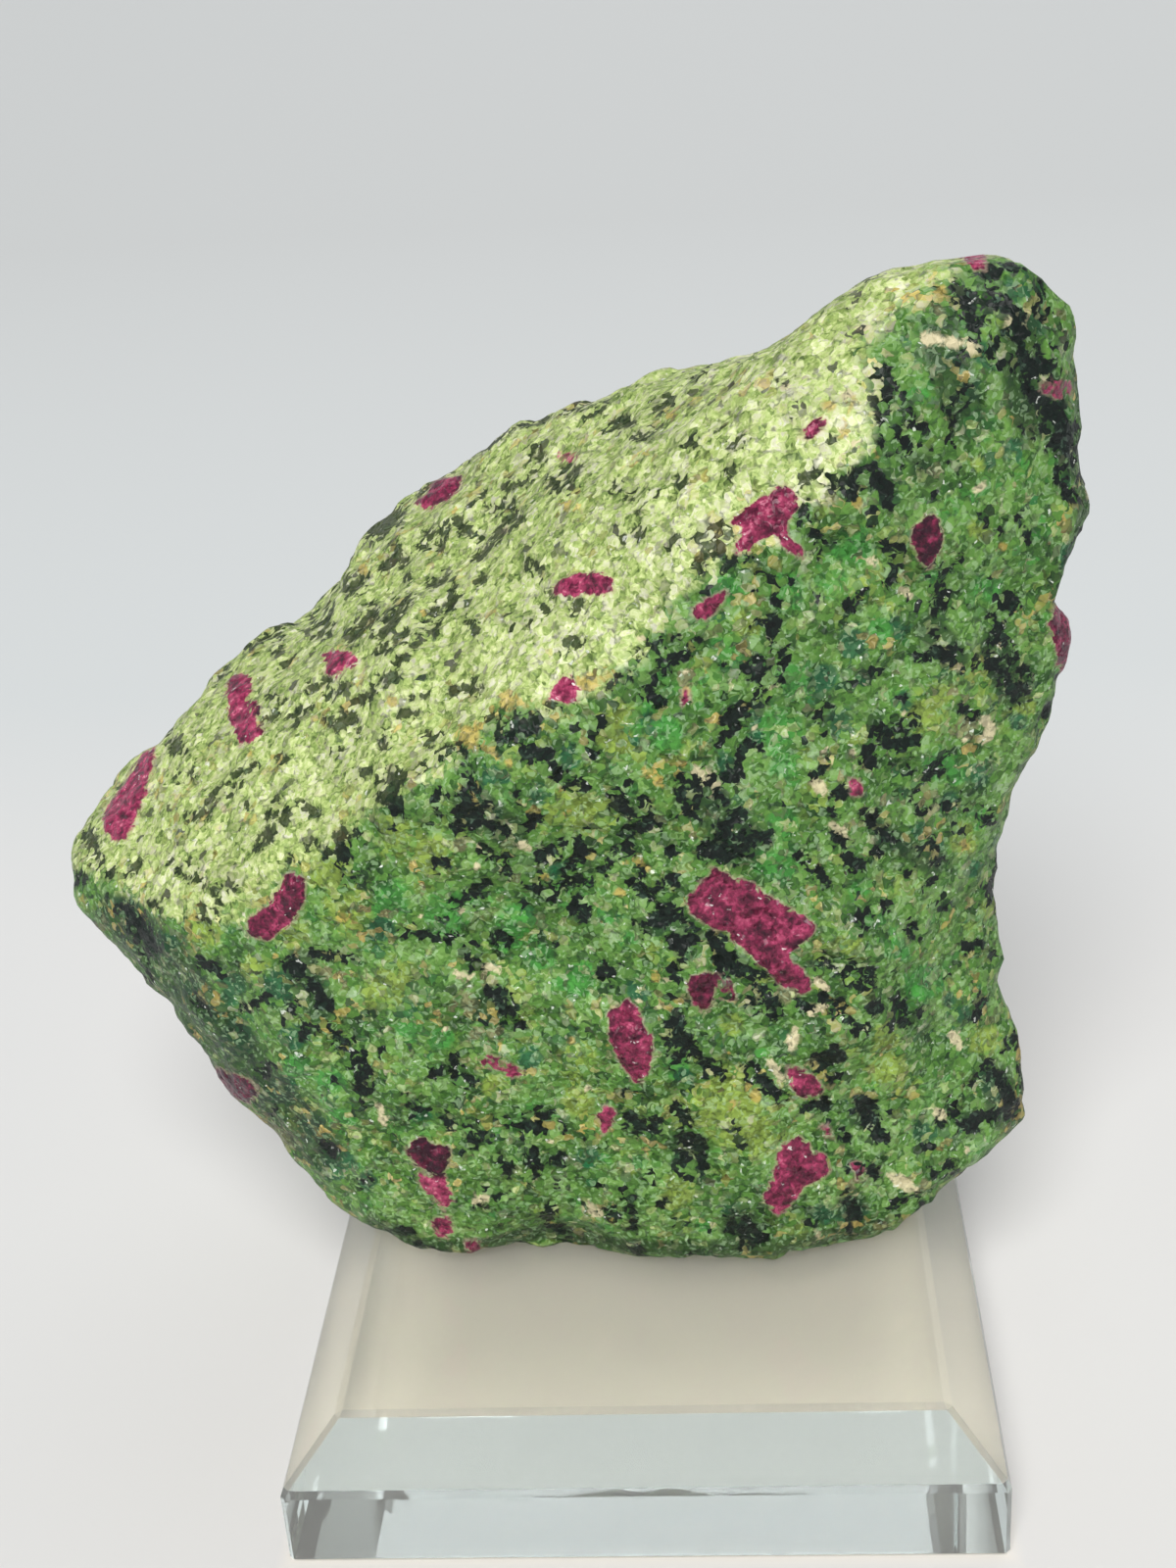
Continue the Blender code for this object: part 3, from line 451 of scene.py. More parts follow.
def camera_axes():
    """The camera's right, down and forward directions."""
    forward = np.array((
        math.sin(CAMERA_HEADING) * math.cos(CAMERA_DOWN),
        math.cos(CAMERA_HEADING) * math.cos(CAMERA_DOWN),
        -math.sin(CAMERA_DOWN)))
    level_right = np.array((math.cos(CAMERA_HEADING), -math.sin(CAMERA_HEADING), 0.0))
    level_down = np.cross(forward, level_right)
    right = math.cos(CAMERA_ROLL) * level_right + math.sin(CAMERA_ROLL) * level_down
    down = math.cos(CAMERA_ROLL) * level_down - math.sin(CAMERA_ROLL) * level_right
    return right, down, forward


RIGHT, DOWN, FORWARD = camera_axes()
EYE = np.array(CAMERA_PLACE)


def to_pixels(points):
    """Where points, in mm, fall in the photo's pixels."""
    offset = points - EYE
    depth = offset @ FORWARD
    u = PHOTO_WIDTH / 2 + FOCAL_PIXELS * (offset @ RIGHT) / depth
    v = PHOTO_HEIGHT / 2 + FOCAL_PIXELS * (offset @ DOWN) / depth
    return np.stack((u, v), axis=1)


def pixel_direction(pixel):
    """The direction of sight through a pixel."""
    across = (pixel[0] - PHOTO_WIDTH / 2) / FOCAL_PIXELS
    below = (pixel[1] - PHOTO_HEIGHT / 2) / FOCAL_PIXELS
    return Vector(FORWARD + RIGHT * across + DOWN * below).normalized()


# ================================================================ surface tools, all in mm

class Surface:
    """A triangle mesh as arrays, with its points in mm."""

    def __init__(self, mesh):
        self.points = np.empty(len(mesh.vertices) * 3, np.float32)
        mesh.vertices.foreach_get("co", self.points)
        self.points = self.points.reshape(-1, 3).astype(float) / MM
        self.edges = np.empty(len(mesh.edges) * 2, np.int32)
        mesh.edges.foreach_get("vertices", self.edges)
        self.edges = self.edges.reshape(-1, 2)
        self.triangles = np.empty(len(mesh.polygons) * 3, np.int32)
        mesh.polygons.foreach_get("vertices", self.triangles)
        self.triangles = self.triangles.reshape(-1, 3)

    def normals(self):
        a, b, c = (self.points[self.triangles[:, corner]] for corner in range(3))
        face = np.cross(b - a, c - a)
        total = np.zeros_like(self.points)
        for corner in range(3):
            for axis in range(3):
                total[:, axis] += np.bincount(
                    self.triangles[:, corner], face[:, axis], len(self.points))
        return total / np.linalg.norm(total, axis=1, keepdims=True)

    def smoothed(self, values, factor):
        """values, one row a point, moved towards the mean of their neighbours."""
        first, second = self.edges.T
        count = len(values)
        neighbours = np.bincount(self.edges.ravel(), minlength=count)
        mean = np.empty_like(values)
        for column in range(values.shape[1]):
            total = np.bincount(first, values[second, column], count)
            total += np.bincount(second, values[first, column], count)
            mean[:, column] = total / neighbours
        return values + factor * (mean - values)

    def tree(self):
        return BVHTree.FromPolygons(
            [Vector(point) for point in self.points], self.triangles.tolist())


def smooth_step(values, low, high):
    share = np.clip((values - low) / (high - low), 0.0, 1.0)
    return share * share * (3.0 - 2.0 * share)


def push(points, centre, radii, amount):
    """Moves the points near a centre, most at the centre and not at all beyond the radii."""
    distance = np.linalg.norm((points - np.array(centre)) / np.array(radii), axis=1)
    share = np.clip(1.0 - distance * distance, 0.0, None) ** 2
    return points + share[:, None] * np.array(amount)


def move_outline(surface, u, v, right, down):
    """Moves the points round a place on the outline, across the line of sight."""
    gap = np.linalg.norm(to_pixels(surface.points) - np.array((u, v)), axis=1)
    facing = np.abs(surface.normals() @ FORWARD)
    centre = surface.points[np.argmin(gap + OUTLINE_FACING_COST * facing)]
    amount = (RIGHT * right + DOWN * down) / PIXELS_PER_MM
    return push(surface.points, centre, (OUTLINE_MOVE_REACH,) * 3, amount)


def seed_shift(seed):
    return Vector((seed, 2.0 * seed, 3.0 * seed))


def wave_heights(points, size, seed):
    """Smooth noise from -1 to 1, one value a point."""
    shift = seed_shift(seed)
    return np.array([noise.noise(Vector(point) / size + shift) for point in points])


def chip_heights(points, size, slope, seed):
    """Small flat facets tilted at random, as on broken rock, one height a point, in mm."""
    shift = seed_shift(seed)
    heights = np.empty(len(points))
    for index, point in enumerate(points):
        place = Vector(point) / size + shift
        distances, centres = noise.voronoi(place)
        near, next_near = (
            (place - centre).dot(noise.cell_vector(centre * CHIP_SEED_SPREAD) - HALF)
            for centre in centres[:2])
        share = min(1.0, (distances[1] - distances[0]) / CHIP_ROUNDING)
        heights[index] = near * (0.5 + 0.5 * share) + next_near * (0.5 - 0.5 * share)
    return heights * slope * size


# ================================================================ marks

def line_distance(pixels, line):
    """Distance in pixels from an open line, or from a single point."""
    corners = np.array(line, float).reshape(-1, 2)
    nearest = np.linalg.norm(pixels - corners[0], axis=1)
    for start, end in zip(corners[:-1], corners[1:]):
        side = end - start
        share = np.clip(((pixels - start) @ side) / (side @ side), 0.0, 1.0)
        gap = np.linalg.norm(pixels - start - share[:, None] * side, axis=1)
        nearest = np.minimum(nearest, gap)
    return nearest


def outline_distance(pixels, outline):
    """Signed distance in pixels from an outline, below zero inside it."""
    corners = np.array(outline, float)
    following = np.roll(corners, -1, axis=0)
    nearest = line_distance(pixels, np.vstack((corners, corners[:1])))
    inside = np.zeros(len(pixels), bool)
    for start, end in zip(corners, following):
        crosses = (start[1] > pixels[:, 1]) != (end[1] > pixels[:, 1])
        rise = end[1] - start[1] if end[1] != start[1] else 1.0
        at = start[0] + (pixels[:, 1] - start[1]) / rise * (end[0] - start[0])
        inside ^= crosses & (pixels[:, 0] < at)
    return np.where(inside, -nearest, nearest)


class Marks:
    """The fields that say where each mineral, and the painted light and shade, show on a surface."""

    def __init__(self, surface):
        self.points = surface.points
        self.pixels = to_pixels(surface.points)
        self.tree = surface.tree()
        self.normals = surface.normals()
        self.facing = np.einsum("ij,ij->i", self.normals, EYE - self.points) > 0.0
        count = len(self.points)
        self.fields = {
            "ruby_distance": np.full(count, FIELD_LIMIT),
            "ruby_pink": np.full(count, 0.5),
            "ruby_strength": np.full(count, 1.0),
            "dark_distance": np.full(count, FIELD_LIMIT),
        }
        for tone in TONES:
            self.fields[tone] = np.zeros(count)

    def seen(self):
        """Whether the camera sees each point."""
        eye = Vector(EYE)
        result = self.facing.copy()
        for index in np.flatnonzero(self.facing):
            start = Vector(self.points[index] + self.normals[index] * SIGHT_LIFT)
            result[index] = self.tree.ray_cast(start, eye - start)[0] is None
        return result

    def near(self, outline, extra):
        """The points near a mark drawn in pixels, which also reaches extra pixels beyond it."""
        corners = np.array(outline, float).reshape(-1, 2)
        middle = corners.mean(axis=0)
        reach = np.linalg.norm(corners - middle, axis=1).max() + extra
        hit = self.tree.ray_cast(Vector(EYE), pixel_direction(middle))[0]
        if hit is None:
            gap = np.linalg.norm(self.pixels - middle, axis=1)
            hit = Vector(self.points[np.argmin(np.where(self.facing, gap, np.inf))])
        offset = np.linalg.norm(self.points - np.array(hit), axis=1)
        return np.flatnonzero(offset < MARK_SLANT * reach / PIXELS_PER_MM + MARK_MARGIN)

    def add_ruby(self, index, distance, pink, strength):
        closer = distance < self.fields["ruby_distance"][index]
        chosen = index[closer]
        self.fields["ruby_distance"][chosen] = distance[closer]
        self.fields["ruby_pink"][chosen] = pink
        self.fields["ruby_strength"][chosen] = strength

    def add_dark(self, index, distance):
        field = self.fields["dark_distance"]
        field[index] = np.minimum(field[index], distance)

    def add_tone(self, tone, index, share):
        """share is the distance over the radius."""
        field = self.fields[tone]
        field[index] = np.maximum(field[index], 1.0 - smooth_step(share, *TONE_EDGE))

    def lay_out_seen(self):
        """The marks that the photo shows."""
        for outline, pink, strength in RUBIES.values():
            index = self.near(outline, 0.0)
            distance = outline_distance(self.pixels[index], outline) / PIXELS_PER_MM
            self.add_ruby(index, distance, pink, strength)
        for radius, *line in HORNBLENDE:
            index = self.near(line, radius)
            distance = line_distance(self.pixels[index], line)
            self.add_dark(index, (distance - radius) / PIXELS_PER_MM)
        for tone, marks in TONES.items():
            for radius, *line in marks:
                index = self.near(line, radius)
                self.add_tone(tone, index, line_distance(self.pixels[index], line) / radius)

    def lay_out_hidden(self):
        """Marks of the same kinds on the sides that the photo doesn't show."""
        draw = random.Random(HIDDEN_SEED)
        hidden = np.flatnonzero(~self.seen()).tolist()

        def around(centre, reach):
            offset = self.points - centre
            index = np.flatnonzero(np.linalg.norm(offset, axis=1) < reach)
            return index, offset[index]

        for _ in range(HIDDEN_RUBIES):
            centre = self.points[draw.choice(hidden)]
            length = draw.uniform(*HIDDEN_RUBY_LENGTH)
            width = length * draw.uniform(*HIDDEN_RUBY_WIDTH)
            radii = np.array((length, width, length * HIDDEN_RUBY_THICKNESS))
            angle = draw.uniform(0, math.tau)
            axis = Vector([draw.uniform(-1, 1) for _ in range(3)]).normalized()
            turn = Matrix.Rotation(angle, 3, axis)
            index, offset = around(centre, length + MARK_MARGIN)
            inner = np.linalg.norm((offset @ np.array(turn)) / radii, axis=1)
            pink = draw.random()
            strength = draw.choice(HIDDEN_RUBY_STRENGTHS)
            self.add_ruby(index, (inner - 1.0) * radii.min(), pink, strength)
        for _ in range(HIDDEN_DARK_CLUSTERS):
            middle = self.points[draw.choice(hidden)]
            spread = draw.uniform(*HIDDEN_CLUSTER_SPREAD)
            for _ in range(draw.randint(*HIDDEN_CLUSTER_SPOTS)):
                spot = middle + np.array([draw.gauss(0, spread) for _ in range(3)])
                centre = self.points[np.argmin(np.linalg.norm(self.points - spot, axis=1))]
                radius = draw.uniform(*HIDDEN_DARK_RADIUS)
                index, offset = around(centre, radius + MARK_MARGIN)
                self.add_dark(index, np.linalg.norm(offset, axis=1) - radius)
        for _ in range(HIDDEN_ZONES):
            centre = self.points[draw.choice(hidden)]
            tone = draw.choice(HIDDEN_TONES)
            small = tone in HIDDEN_SMALL_TONES
            radius = draw.uniform(*(HIDDEN_SMALL_RADIUS if small else HIDDEN_TONE_RADIUS))
            index, offset = around(centre, 2.0 * radius + MARK_MARGIN)
            self.add_tone(tone, index, np.linalg.norm(offset, axis=1) / radius)

    def relief(self):
        """How far each point stands out for the mineral it is in, in mm."""
        fields = self.fields
        ruby = 1.0 - smooth_step(fields["ruby_distance"], *RUBY_RISE_EDGE)
        ruby = ruby * fields["ruby_strength"]
        dark = 1.0 - smooth_step(fields["dark_distance"], *DARK_SINK_EDGE)
        return RUBY_RISE * ruby - DARK_SINK * dark * (1.0 - ruby)


# ================================================================ the stone

def divided_mesh(node):
    """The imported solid's mesh, welded, with each triangle divided into smaller ones."""
    form = bmesh.new()
    form.from_mesh(node.data)
    bmesh.ops.remove_doubles(form, verts=form.verts, dist=WELD * MM)
    bmesh.ops.subdivide_edges(form, edges=form.edges, cuts=FINE_CUTS, use_grid_fill=True)
    bmesh.ops.triangulate(form, faces=form.faces)
    mesh = bpy.data.meshes.new("stone")
    form.to_mesh(mesh)
    form.free()
    return mesh


def shape_stone(surface):
    """Gives the divided solid its smooth faces, its hollows and its broken skin."""
    foot = surface.points[:, 2].min()
    for _ in range(SMOOTH_PASSES):
        surface.points = surface.smoothed(surface.points, SMOOTH_IN)
        surface.points = surface.smoothed(surface.points, SMOOTH_OUT)
    for centre, radii, amount in SURFACE_PUSHES.values():
        surface.points = push(surface.points, centre, radii, amount)
    for move in OUTLINE_MOVES:
        surface.points = move_outline(surface, *move)
    normals = surface.normals()
    total = np.zeros(len(surface.points))
    for order, (size, height) in enumerate(WAVES):
        total += height * wave_heights(surface.points, size, WAVE_SEED + order)
    total += chip_heights(surface.points, CHIP_SIZE, CHIP_SLOPE, WAVE_SEED)
    surface.points = surface.points + normals * total[:, None]
    surface.points[:, 2] = np.maximum(surface.points[:, 2], foot)
    return normals


def write_points(mesh, points):
    mesh.vertices.foreach_set("co", (points * MM).astype(np.float32).ravel())
    mesh.update()


def add_field(mesh, name, values):
    field = mesh.attributes.new(name, "FLOAT", "POINT")
    field.data.foreach_set("value", values.astype(np.float32))


def weathered_and_top_lit_share(surface, broad_normals):
    """1 where the pale upper face is, falling to 0 at its edges and where the lump turns down.

    It is partly a weathered crust and partly painted light from above. The far side has no outline to
    follow, so it is pale wherever it looks well up."""
    distance = outline_distance(to_pixels(surface.points), WEATHERED_AND_TOP_LIT) / PIXELS_PER_MM
    inside = 1.0 - smooth_step(distance, -WEATHERED_AND_TOP_LIT_SOFTNESS, WEATHERED_AND_TOP_LIT_SOFTNESS)
    inside = inside * smooth_step(broad_normals[:, 2], *WEATHERED_AND_TOP_LIT_LEVEL)
    sight = EYE - surface.points
    sight = sight / np.linalg.norm(sight, axis=1, keepdims=True)
    near_side = smooth_step(np.einsum("ij,ij->i", broad_normals, sight), *NEAR_SIDE)
    far_side = smooth_step(broad_normals[:, 2], *FAR_WEATHERED_AND_TOP_LIT_LEVEL)
    return near_side * inside + (1.0 - near_side) * far_side


def make_stone():
    mesh = divided_mesh(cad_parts[STONE_NODE])
    surface = Surface(mesh)
    broad_normals = shape_stone(surface)
    foot = surface.points[:, 2].min()
    marks = Marks(surface)
    marks.lay_out_seen()
    marks.lay_out_hidden()
    # the pale upper face, partly a weathered crust and partly painted light from above
    weathered_and_top_lit = weathered_and_top_lit_share(surface, broad_normals)
    surface.points = surface.points + broad_normals * marks.relief()[:, None]
    surface.points[:, 2] = np.maximum(surface.points[:, 2], foot)
    write_points(mesh, surface.points)
    for name, values in marks.fields.items():
        add_field(mesh, name, values)
    add_field(mesh, "weathered_and_top_lit", weathered_and_top_lit)
    mesh.shade_smooth()
    stone = bpy.data.objects.new("stone_surface", mesh)
    bpy.context.scene.collection.objects.link(stone)
    mesh.materials.append(zoisite_material())
    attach(stone, "root")
    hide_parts(STONE_NODE)


# ================================================================ materials

class Nodes:
    """Short ways to add the shader nodes used here. Inputs are sockets, numbers or tuples."""

    def __init__(self, name):
        self.material = bpy.data.materials.new(name)
        self.material.use_nodes = True
        self.tree = self.material.node_tree
        self.shader = self.tree.nodes["Principled BSDF"]
        self.output = self.tree.nodes["Material Output"]

    def put(self, socket, value):
        if isinstance(value, bpy.types.NodeSocket):
            self.tree.links.new(value, socket)
        elif isinstance(value, tuple) and len(value) == 3 and socket.type == "RGBA":
            socket.default_value = (*value, 1.0)
        else:
            socket.default_value = value

    def add(self, kind, settings=None, **inputs):
        node = self.tree.nodes.new(kind)
        for key, value in (settings or {}).items():
            setattr(node, key, value)
        for key, value in inputs.items():
            self.put(node.inputs[key], value)
        return node

    def math(self, operation, *values):
        node = self.add("ShaderNodeMath", {"operation": operation})
        for socket, value in zip(node.inputs, values):
            self.put(socket, value)
        return node.outputs[0]

    def total(self, *values):
        """The sum of pairs (value, weight) and plain values."""
        result = None
        for value in values:
            if isinstance(value, tuple):
                value = self.math("MULTIPLY", *value)
            result = value if result is None else self.math("ADD", result, value)
        return result

    def vector(self, operation, *values):
        node = self.add("ShaderNodeVectorMath", {"operation": operation})
        slots = [node.inputs[0], node.inputs[1]]
        if operation == "SCALE":
            slots = [node.inputs[0], node.inputs["Scale"]]
        for socket, value in zip(slots, values):
            self.put(socket, value)
        return node.outputs["Value" if operation == "DOT_PRODUCT" else "Vector"]

    def field(self, name):
        return self.add("ShaderNodeAttribute", {"attribute_name": name}).outputs["Fac"]

    def noise(self, place, name):
        scale, detail, rough, shift = NOISES[name]
        if shift:
            place = self.vector("ADD", place, (shift, 2.0 * shift, -shift))
        return self.add("ShaderNodeTexNoise", Vector=place, Scale=scale, Detail=detail,
                        Roughness=rough).outputs

    def cells(self, place, scale):
        return self.add("ShaderNodeTexVoronoi", Vector=place, Scale=scale)

    def step(self, value, low, high):
        node = self.add("ShaderNodeMapRange", {"interpolation_type": "SMOOTHSTEP"})
        self.put(node.inputs["Value"], value)
        self.put(node.inputs["From Min"], low)
        self.put(node.inputs["From Max"], high)
        return node.outputs["Result"]

    def fall(self, value, low, high):
        """1 below low, falling to 0 above high."""
        return self.math("SUBTRACT", 1.0, self.step(value, low, high))

    def mix(self, share, first, second):
        return self.mixed("RGBA", (0, 6, 7, 2), share, first, second)

    def mix_number(self, share, first, second):
        return self.mixed("FLOAT", (0, 2, 3, 0), share, first, second)

    def mixed(self, kind, places, *values):
        """A mix node has sockets for every kind of value, so each kind's are found by place."""
        node = self.add("ShaderNodeMix", {"data_type": kind})
        for place, value in zip(places, values):
            self.put(node.inputs[place], value)
        return node.outputs[places[-1]]

    def ramp(self, value, *stops):
        """A colour ramp through stops of (place, colour)."""
        node = self.add("ShaderNodeValToRGB", Fac=value)
        elements = node.color_ramp.elements
        while len(elements) < len(stops):
            elements.new(0.5)
        for element, (place, colour) in zip(elements, stops):
            element.position = place
            element.color = (*colour, 1.0)
        return node.outputs["Color"]

    def split(self, colour):
        return self.add("ShaderNodeSeparateColor", Color=colour).outputs


def srgb(red, green, blue):
    """A colour given as 0 to 255 display values, as the linear values a shader takes."""
    return tuple(
        value / 12.92 / 255 if value <= 10 else ((value / 255 + 0.055) / 1.055) ** 2.4
        for value in (red, green, blue))


GREENS = (
    (0.0, srgb(36, 62, 30)), (0.2, srgb(72, 112, 44)), (0.42, srgb(112, 154, 66)),
    (0.62, srgb(144, 180, 90)), (0.8, srgb(178, 206, 128)), (1.0, srgb(220, 234, 184)))
PALES = (
    (0.0, srgb(84, 104, 52)), (0.2, srgb(140, 164, 86)), (0.45, srgb(188, 208, 126)),
    (0.7, srgb(226, 236, 170)), (1.0, srgb(250, 249, 220)))
# the zones under the pale upper face and the stain over it: field, tone, weight, where it starts
ZONES = (
    ("lime", srgb(172, 184, 82), 0.95, 1.0), ("vivid", srgb(84, 160, 68), 0.9, 1.0),
    ("teal", srgb(44, 104, 70), 0.9, 1.04), ("beige", srgb(166, 146, 110), 0.85, 1.18),
    ("emerald", srgb(16, 122, 72), 0.85, 1.25))
STAIN = ("ochre", srgb(196, 166, 88), 0.7, 1.12)
CREAM = srgb(232, 218, 178)
DARKS = (
    (0.0, srgb(2, 10, 8)), (0.6, srgb(8, 24, 18)), (0.85, srgb(30, 52, 38)),
    (1.0, srgb(84, 108, 90)))
DARK_GREEN = srgb(34, 58, 34)
RUBY_TONES = (
    (0.0, srgb(48, 16, 32)), (0.3, srgb(98, 30, 56)), (0.55, srgb(148, 48, 84)),
    (0.8, srgb(190, 80, 116)), (1.0, srgb(226, 144, 162)))
RUBY_RIM = srgb(196, 170, 150)
PALE_FLECK_AND_SPARKLE = srgb(212, 226, 184)
PAINTED_GLINT = srgb(240, 244, 236)
BODY_TINT = (0.62, 0.77, 0.72)
STONE_LEVEL = 0.9

# noises: turns per mm, extra octaves, their weight, and a shift that keeps each unlike the others
NOISES = {
    "sway": (1.3, 0.0, 0.5, 0.0), "broad": (0.2, 2.0, 0.6, 20.0), "mottle": (0.6, 1.0, 0.5, 40.0),
    "drift": (0.18, 0.0, 0.5, 60.0), "other_drift": (0.22, 0.0, 0.5, 80.0),
    "fine": (1.5, 2.0, 0.6, 50.0), "ragged": (0.9, 2.0, 0.55, 120.0),
    "specks": (0.3, 1.0, 0.5, 130.0), "streak": (0.8, 3.0, 0.65, 160.0)}
GRAINS_PER_MM = 1.15
SUGAR_PER_MM = 2.7  # the finer crystals that each grain is made of
GRAIN_SWAY = 0.9  # mm that the grains are pushed out of order
GRAIN_LEAN = 0.4  # how far each crystal's face leans from the surface
SUGAR_LEAN = 0.75
STONE_ROUGHNESS = 0.5
RUBY_ROUGHNESS = 0.35
GLINT_ROUGHNESS = 0.15
STONE_SPECULAR = 0.3

# the clear glass, a tenth of it scattering to stand in for the inner reflections cut off
GLASS_COLOUR = (1.0, 0.99, 0.97)
GLASS_IOR = 1.5
GLASS_TRANSMISSION = 0.9
GLASS_REFLECTION = (0.6, 0.68, 0.65, 1.0)  # aqua, and weaker than bare glass
GLASS_DEPTH_COLOUR = (0.5, 0.95, 0.93, 1.0)
GLASS_DEPTH_DENSITY = 3.0


def zoisite_material():
    n = Nodes("ruby_in_zoisite")
    place = n.vector("SCALE", n.add("ShaderNodeTexCoord").outputs["Object"], 1.0 / MM)
    sway = n.vector("SUBTRACT", n.noise(place, "sway")["Color"], tuple(HALF))
    grain_place = n.vector("ADD", place, n.vector("SCALE", sway, GRAIN_SWAY))
    grains = n.cells(grain_place, GRAINS_PER_MM)
    sugar = n.cells(grain_place, SUGAR_PER_MM)
    rim_of_grain = grains.outputs["Distance"]
    middle = grains.outputs["Position"]
    one, two, three = n.split(grains.outputs["Color"])[:3]
    four, five, six = n.split(sugar.outputs["Color"])[:3]

    # the greens, one tone a grain
    broad = n.noise(middle, "broad")["Fac"]
    mottle = n.noise(middle, "mottle")["Fac"]
    level = n.total((n.step(broad, 0.25, 0.75), 0.5), (one, 0.42), (four, 0.22),
                    (mottle, 0.7), -0.48)
    colour = n.ramp(level, *GREENS)

    drift = n.split(n.noise(middle, "drift")["Color"])
    other_drift = n.split(n.noise(middle, "other_drift")["Color"])
    brightness = n.total((one, 0.7), (four, 0.4), (mottle, 0.7), 0.1)

    def zone(base, wander, name, tone, weight, low):
        """A patch whose edge wanders and dissolves grain by grain."""
        share = n.total((n.field(name), 0.75), (wander, 1.0), (two, 0.7))
        share = n.math("MULTIPLY", n.step(share, low, low + 0.35), weight)
        return n.mix(share, base, n.vector("SCALE", tone, brightness))

    for zone_drift, settings in zip((*drift[:3], *other_drift[:2]), ZONES):
        colour = zone(colour, zone_drift, *settings)
    # painted shade, with a few darker patches of rock: the greens darkened where faces turn from the
    # light, along the rims and along the foot
    painted_shade = n.total((n.field("painted_shade"), 1.0), (one, 0.5), (mottle, 0.6), -0.55)
    colour = n.mix(n.math("MULTIPLY", n.step(painted_shade, 0.1, 0.6), 0.72), colour, DARK_GREEN)
    # pale flecks: pale grains, partly a painted sparkle
    pale_fleck_and_sparkle = n.step(six, 0.74, 0.9)
    colour = n.mix(n.math("MULTIPLY", pale_fleck_and_sparkle, 0.35), colour, PALE_FLECK_AND_SPARKLE)

    colour = n.vector("MULTIPLY", colour, BODY_TINT)

    # the pale upper face: partly a weathered crust, partly painted light from above
    fine = n.noise(place, "fine")["Fac"]
    # the pale tones, lifted by the painted highlight where the upper face tilts towards the light
    pale_level = n.total((three, 0.5), (five, 0.4), (mottle, 0.7), (fine, 0.9),
                         (n.field("painted_highlight"), 0.12), -0.76)
    pale = n.ramp(pale_level, *PALES)
    veil = n.total((n.field("weathered_and_top_lit"), 1.0), (two, 0.6), (mottle, 0.9), -0.75)
    colour = n.mix(n.math("MULTIPLY", n.step(veil, 0.1, 0.75), 0.95), colour, pale)

    colour = zone(colour, other_drift[2], *STAIN)
    cream = n.total((n.field("cream"), 1.0), (two, 0.5), (five, 0.3), -0.4)
    colour = n.mix(n.math("MULTIPLY", n.step(cream, 0.2, 0.7), 0.85), colour, CREAM)

    # painted shade in the crevices between the grains
    painted_crevice_shade = n.math("MULTIPLY", n.step(rim_of_grain, 0.5, 0.75), n.step(fine, 0.4, 0.6))
    colour = n.mix(n.math("MULTIPLY", painted_crevice_shade, 0.6), colour, DARK_GREEN)

    # hornblende
    ragged = n.noise(place, "ragged")["Fac"]
    speck_drift = n.noise(middle, "specks")["Fac"]
    specks = n.total((three, -1.0), (speck_drift, -2.2), 2.3)
    dark = n.total((ragged, 1.1), (three, 1.0), (five, 0.3), n.field("dark_distance"), -1.2)
    dark = n.math("MINIMUM", dark, specks)
    colour = n.mix(n.math("MULTIPLY", n.fall(dark, 0.0, 0.7), 0.3), colour, DARK_GREEN)
    dark_share = n.total((n.field("weathered_and_top_lit"), -0.2), 1.0)
    dark_share = n.math("MULTIPLY", n.fall(dark, -0.1, 0.1), dark_share)
    colour = n.mix(dark_share, colour, n.ramp(n.total((one, 0.5), (five, 0.5)), *DARKS))

    # ruby
    ruby = n.total((ragged, 0.9), (one, 0.35), n.field("ruby_distance"), -0.62)
    solid = n.step(n.total(n.field("ruby_strength"), (two, 0.5), (fine, 0.5)), 0.72, 0.95)
    rim = n.math("MULTIPLY", n.fall(ruby, 0.05, 0.35), n.math("MULTIPLY", solid, 0.4))
    colour = n.mix(rim, colour, RUBY_RIM)
    ruby_share = n.math("MULTIPLY", n.fall(ruby, -0.09, 0.09), solid)
    streak = n.noise(place, "streak")["Fac"]
    pinkness = n.total((n.field("ruby_pink"), 0.75), (streak, 1.8), (four, 0.25), (one, 0.1), -1.0)
    colour = n.mix(ruby_share, colour, n.ramp(pinkness, *RUBY_TONES))

    # painted highlight: a few crystals painted near white as glints, and also made smoother
    glint_painted_and_smooth = n.math("MULTIPLY", n.step(six, 0.985, 0.99), n.step(fine, 0.5, 0.6))
    colour = n.mix(n.math("MULTIPLY", glint_painted_and_smooth, 0.6), colour, PAINTED_GLINT)
    n.put(n.shader.inputs["Base Color"], n.vector("SCALE", colour, STONE_LEVEL))

    rough = n.mix_number(ruby_share, STONE_ROUGHNESS, RUBY_ROUGHNESS)
    rough = n.mix_number(glint_painted_and_smooth, rough, GLINT_ROUGHNESS)
    n.put(n.shader.inputs["Roughness"], rough)
    n.shader.inputs["Specular IOR Level"].default_value = STONE_SPECULAR

    # each grain and each sugary crystal on it is a little face that leans its own way
    normal = n.add("ShaderNodeNewGeometry").outputs["Normal"]
    for crystals, lean in ((grains, GRAIN_LEAN), (sugar, SUGAR_LEAN)):
        tilt = n.vector("SUBTRACT", crystals.outputs["Color"], tuple(HALF))
        normal = n.vector("ADD", normal, n.vector("SCALE", tilt, lean))
    n.put(n.shader.inputs["Normal"], n.vector("NORMALIZE", normal))
    return n.material


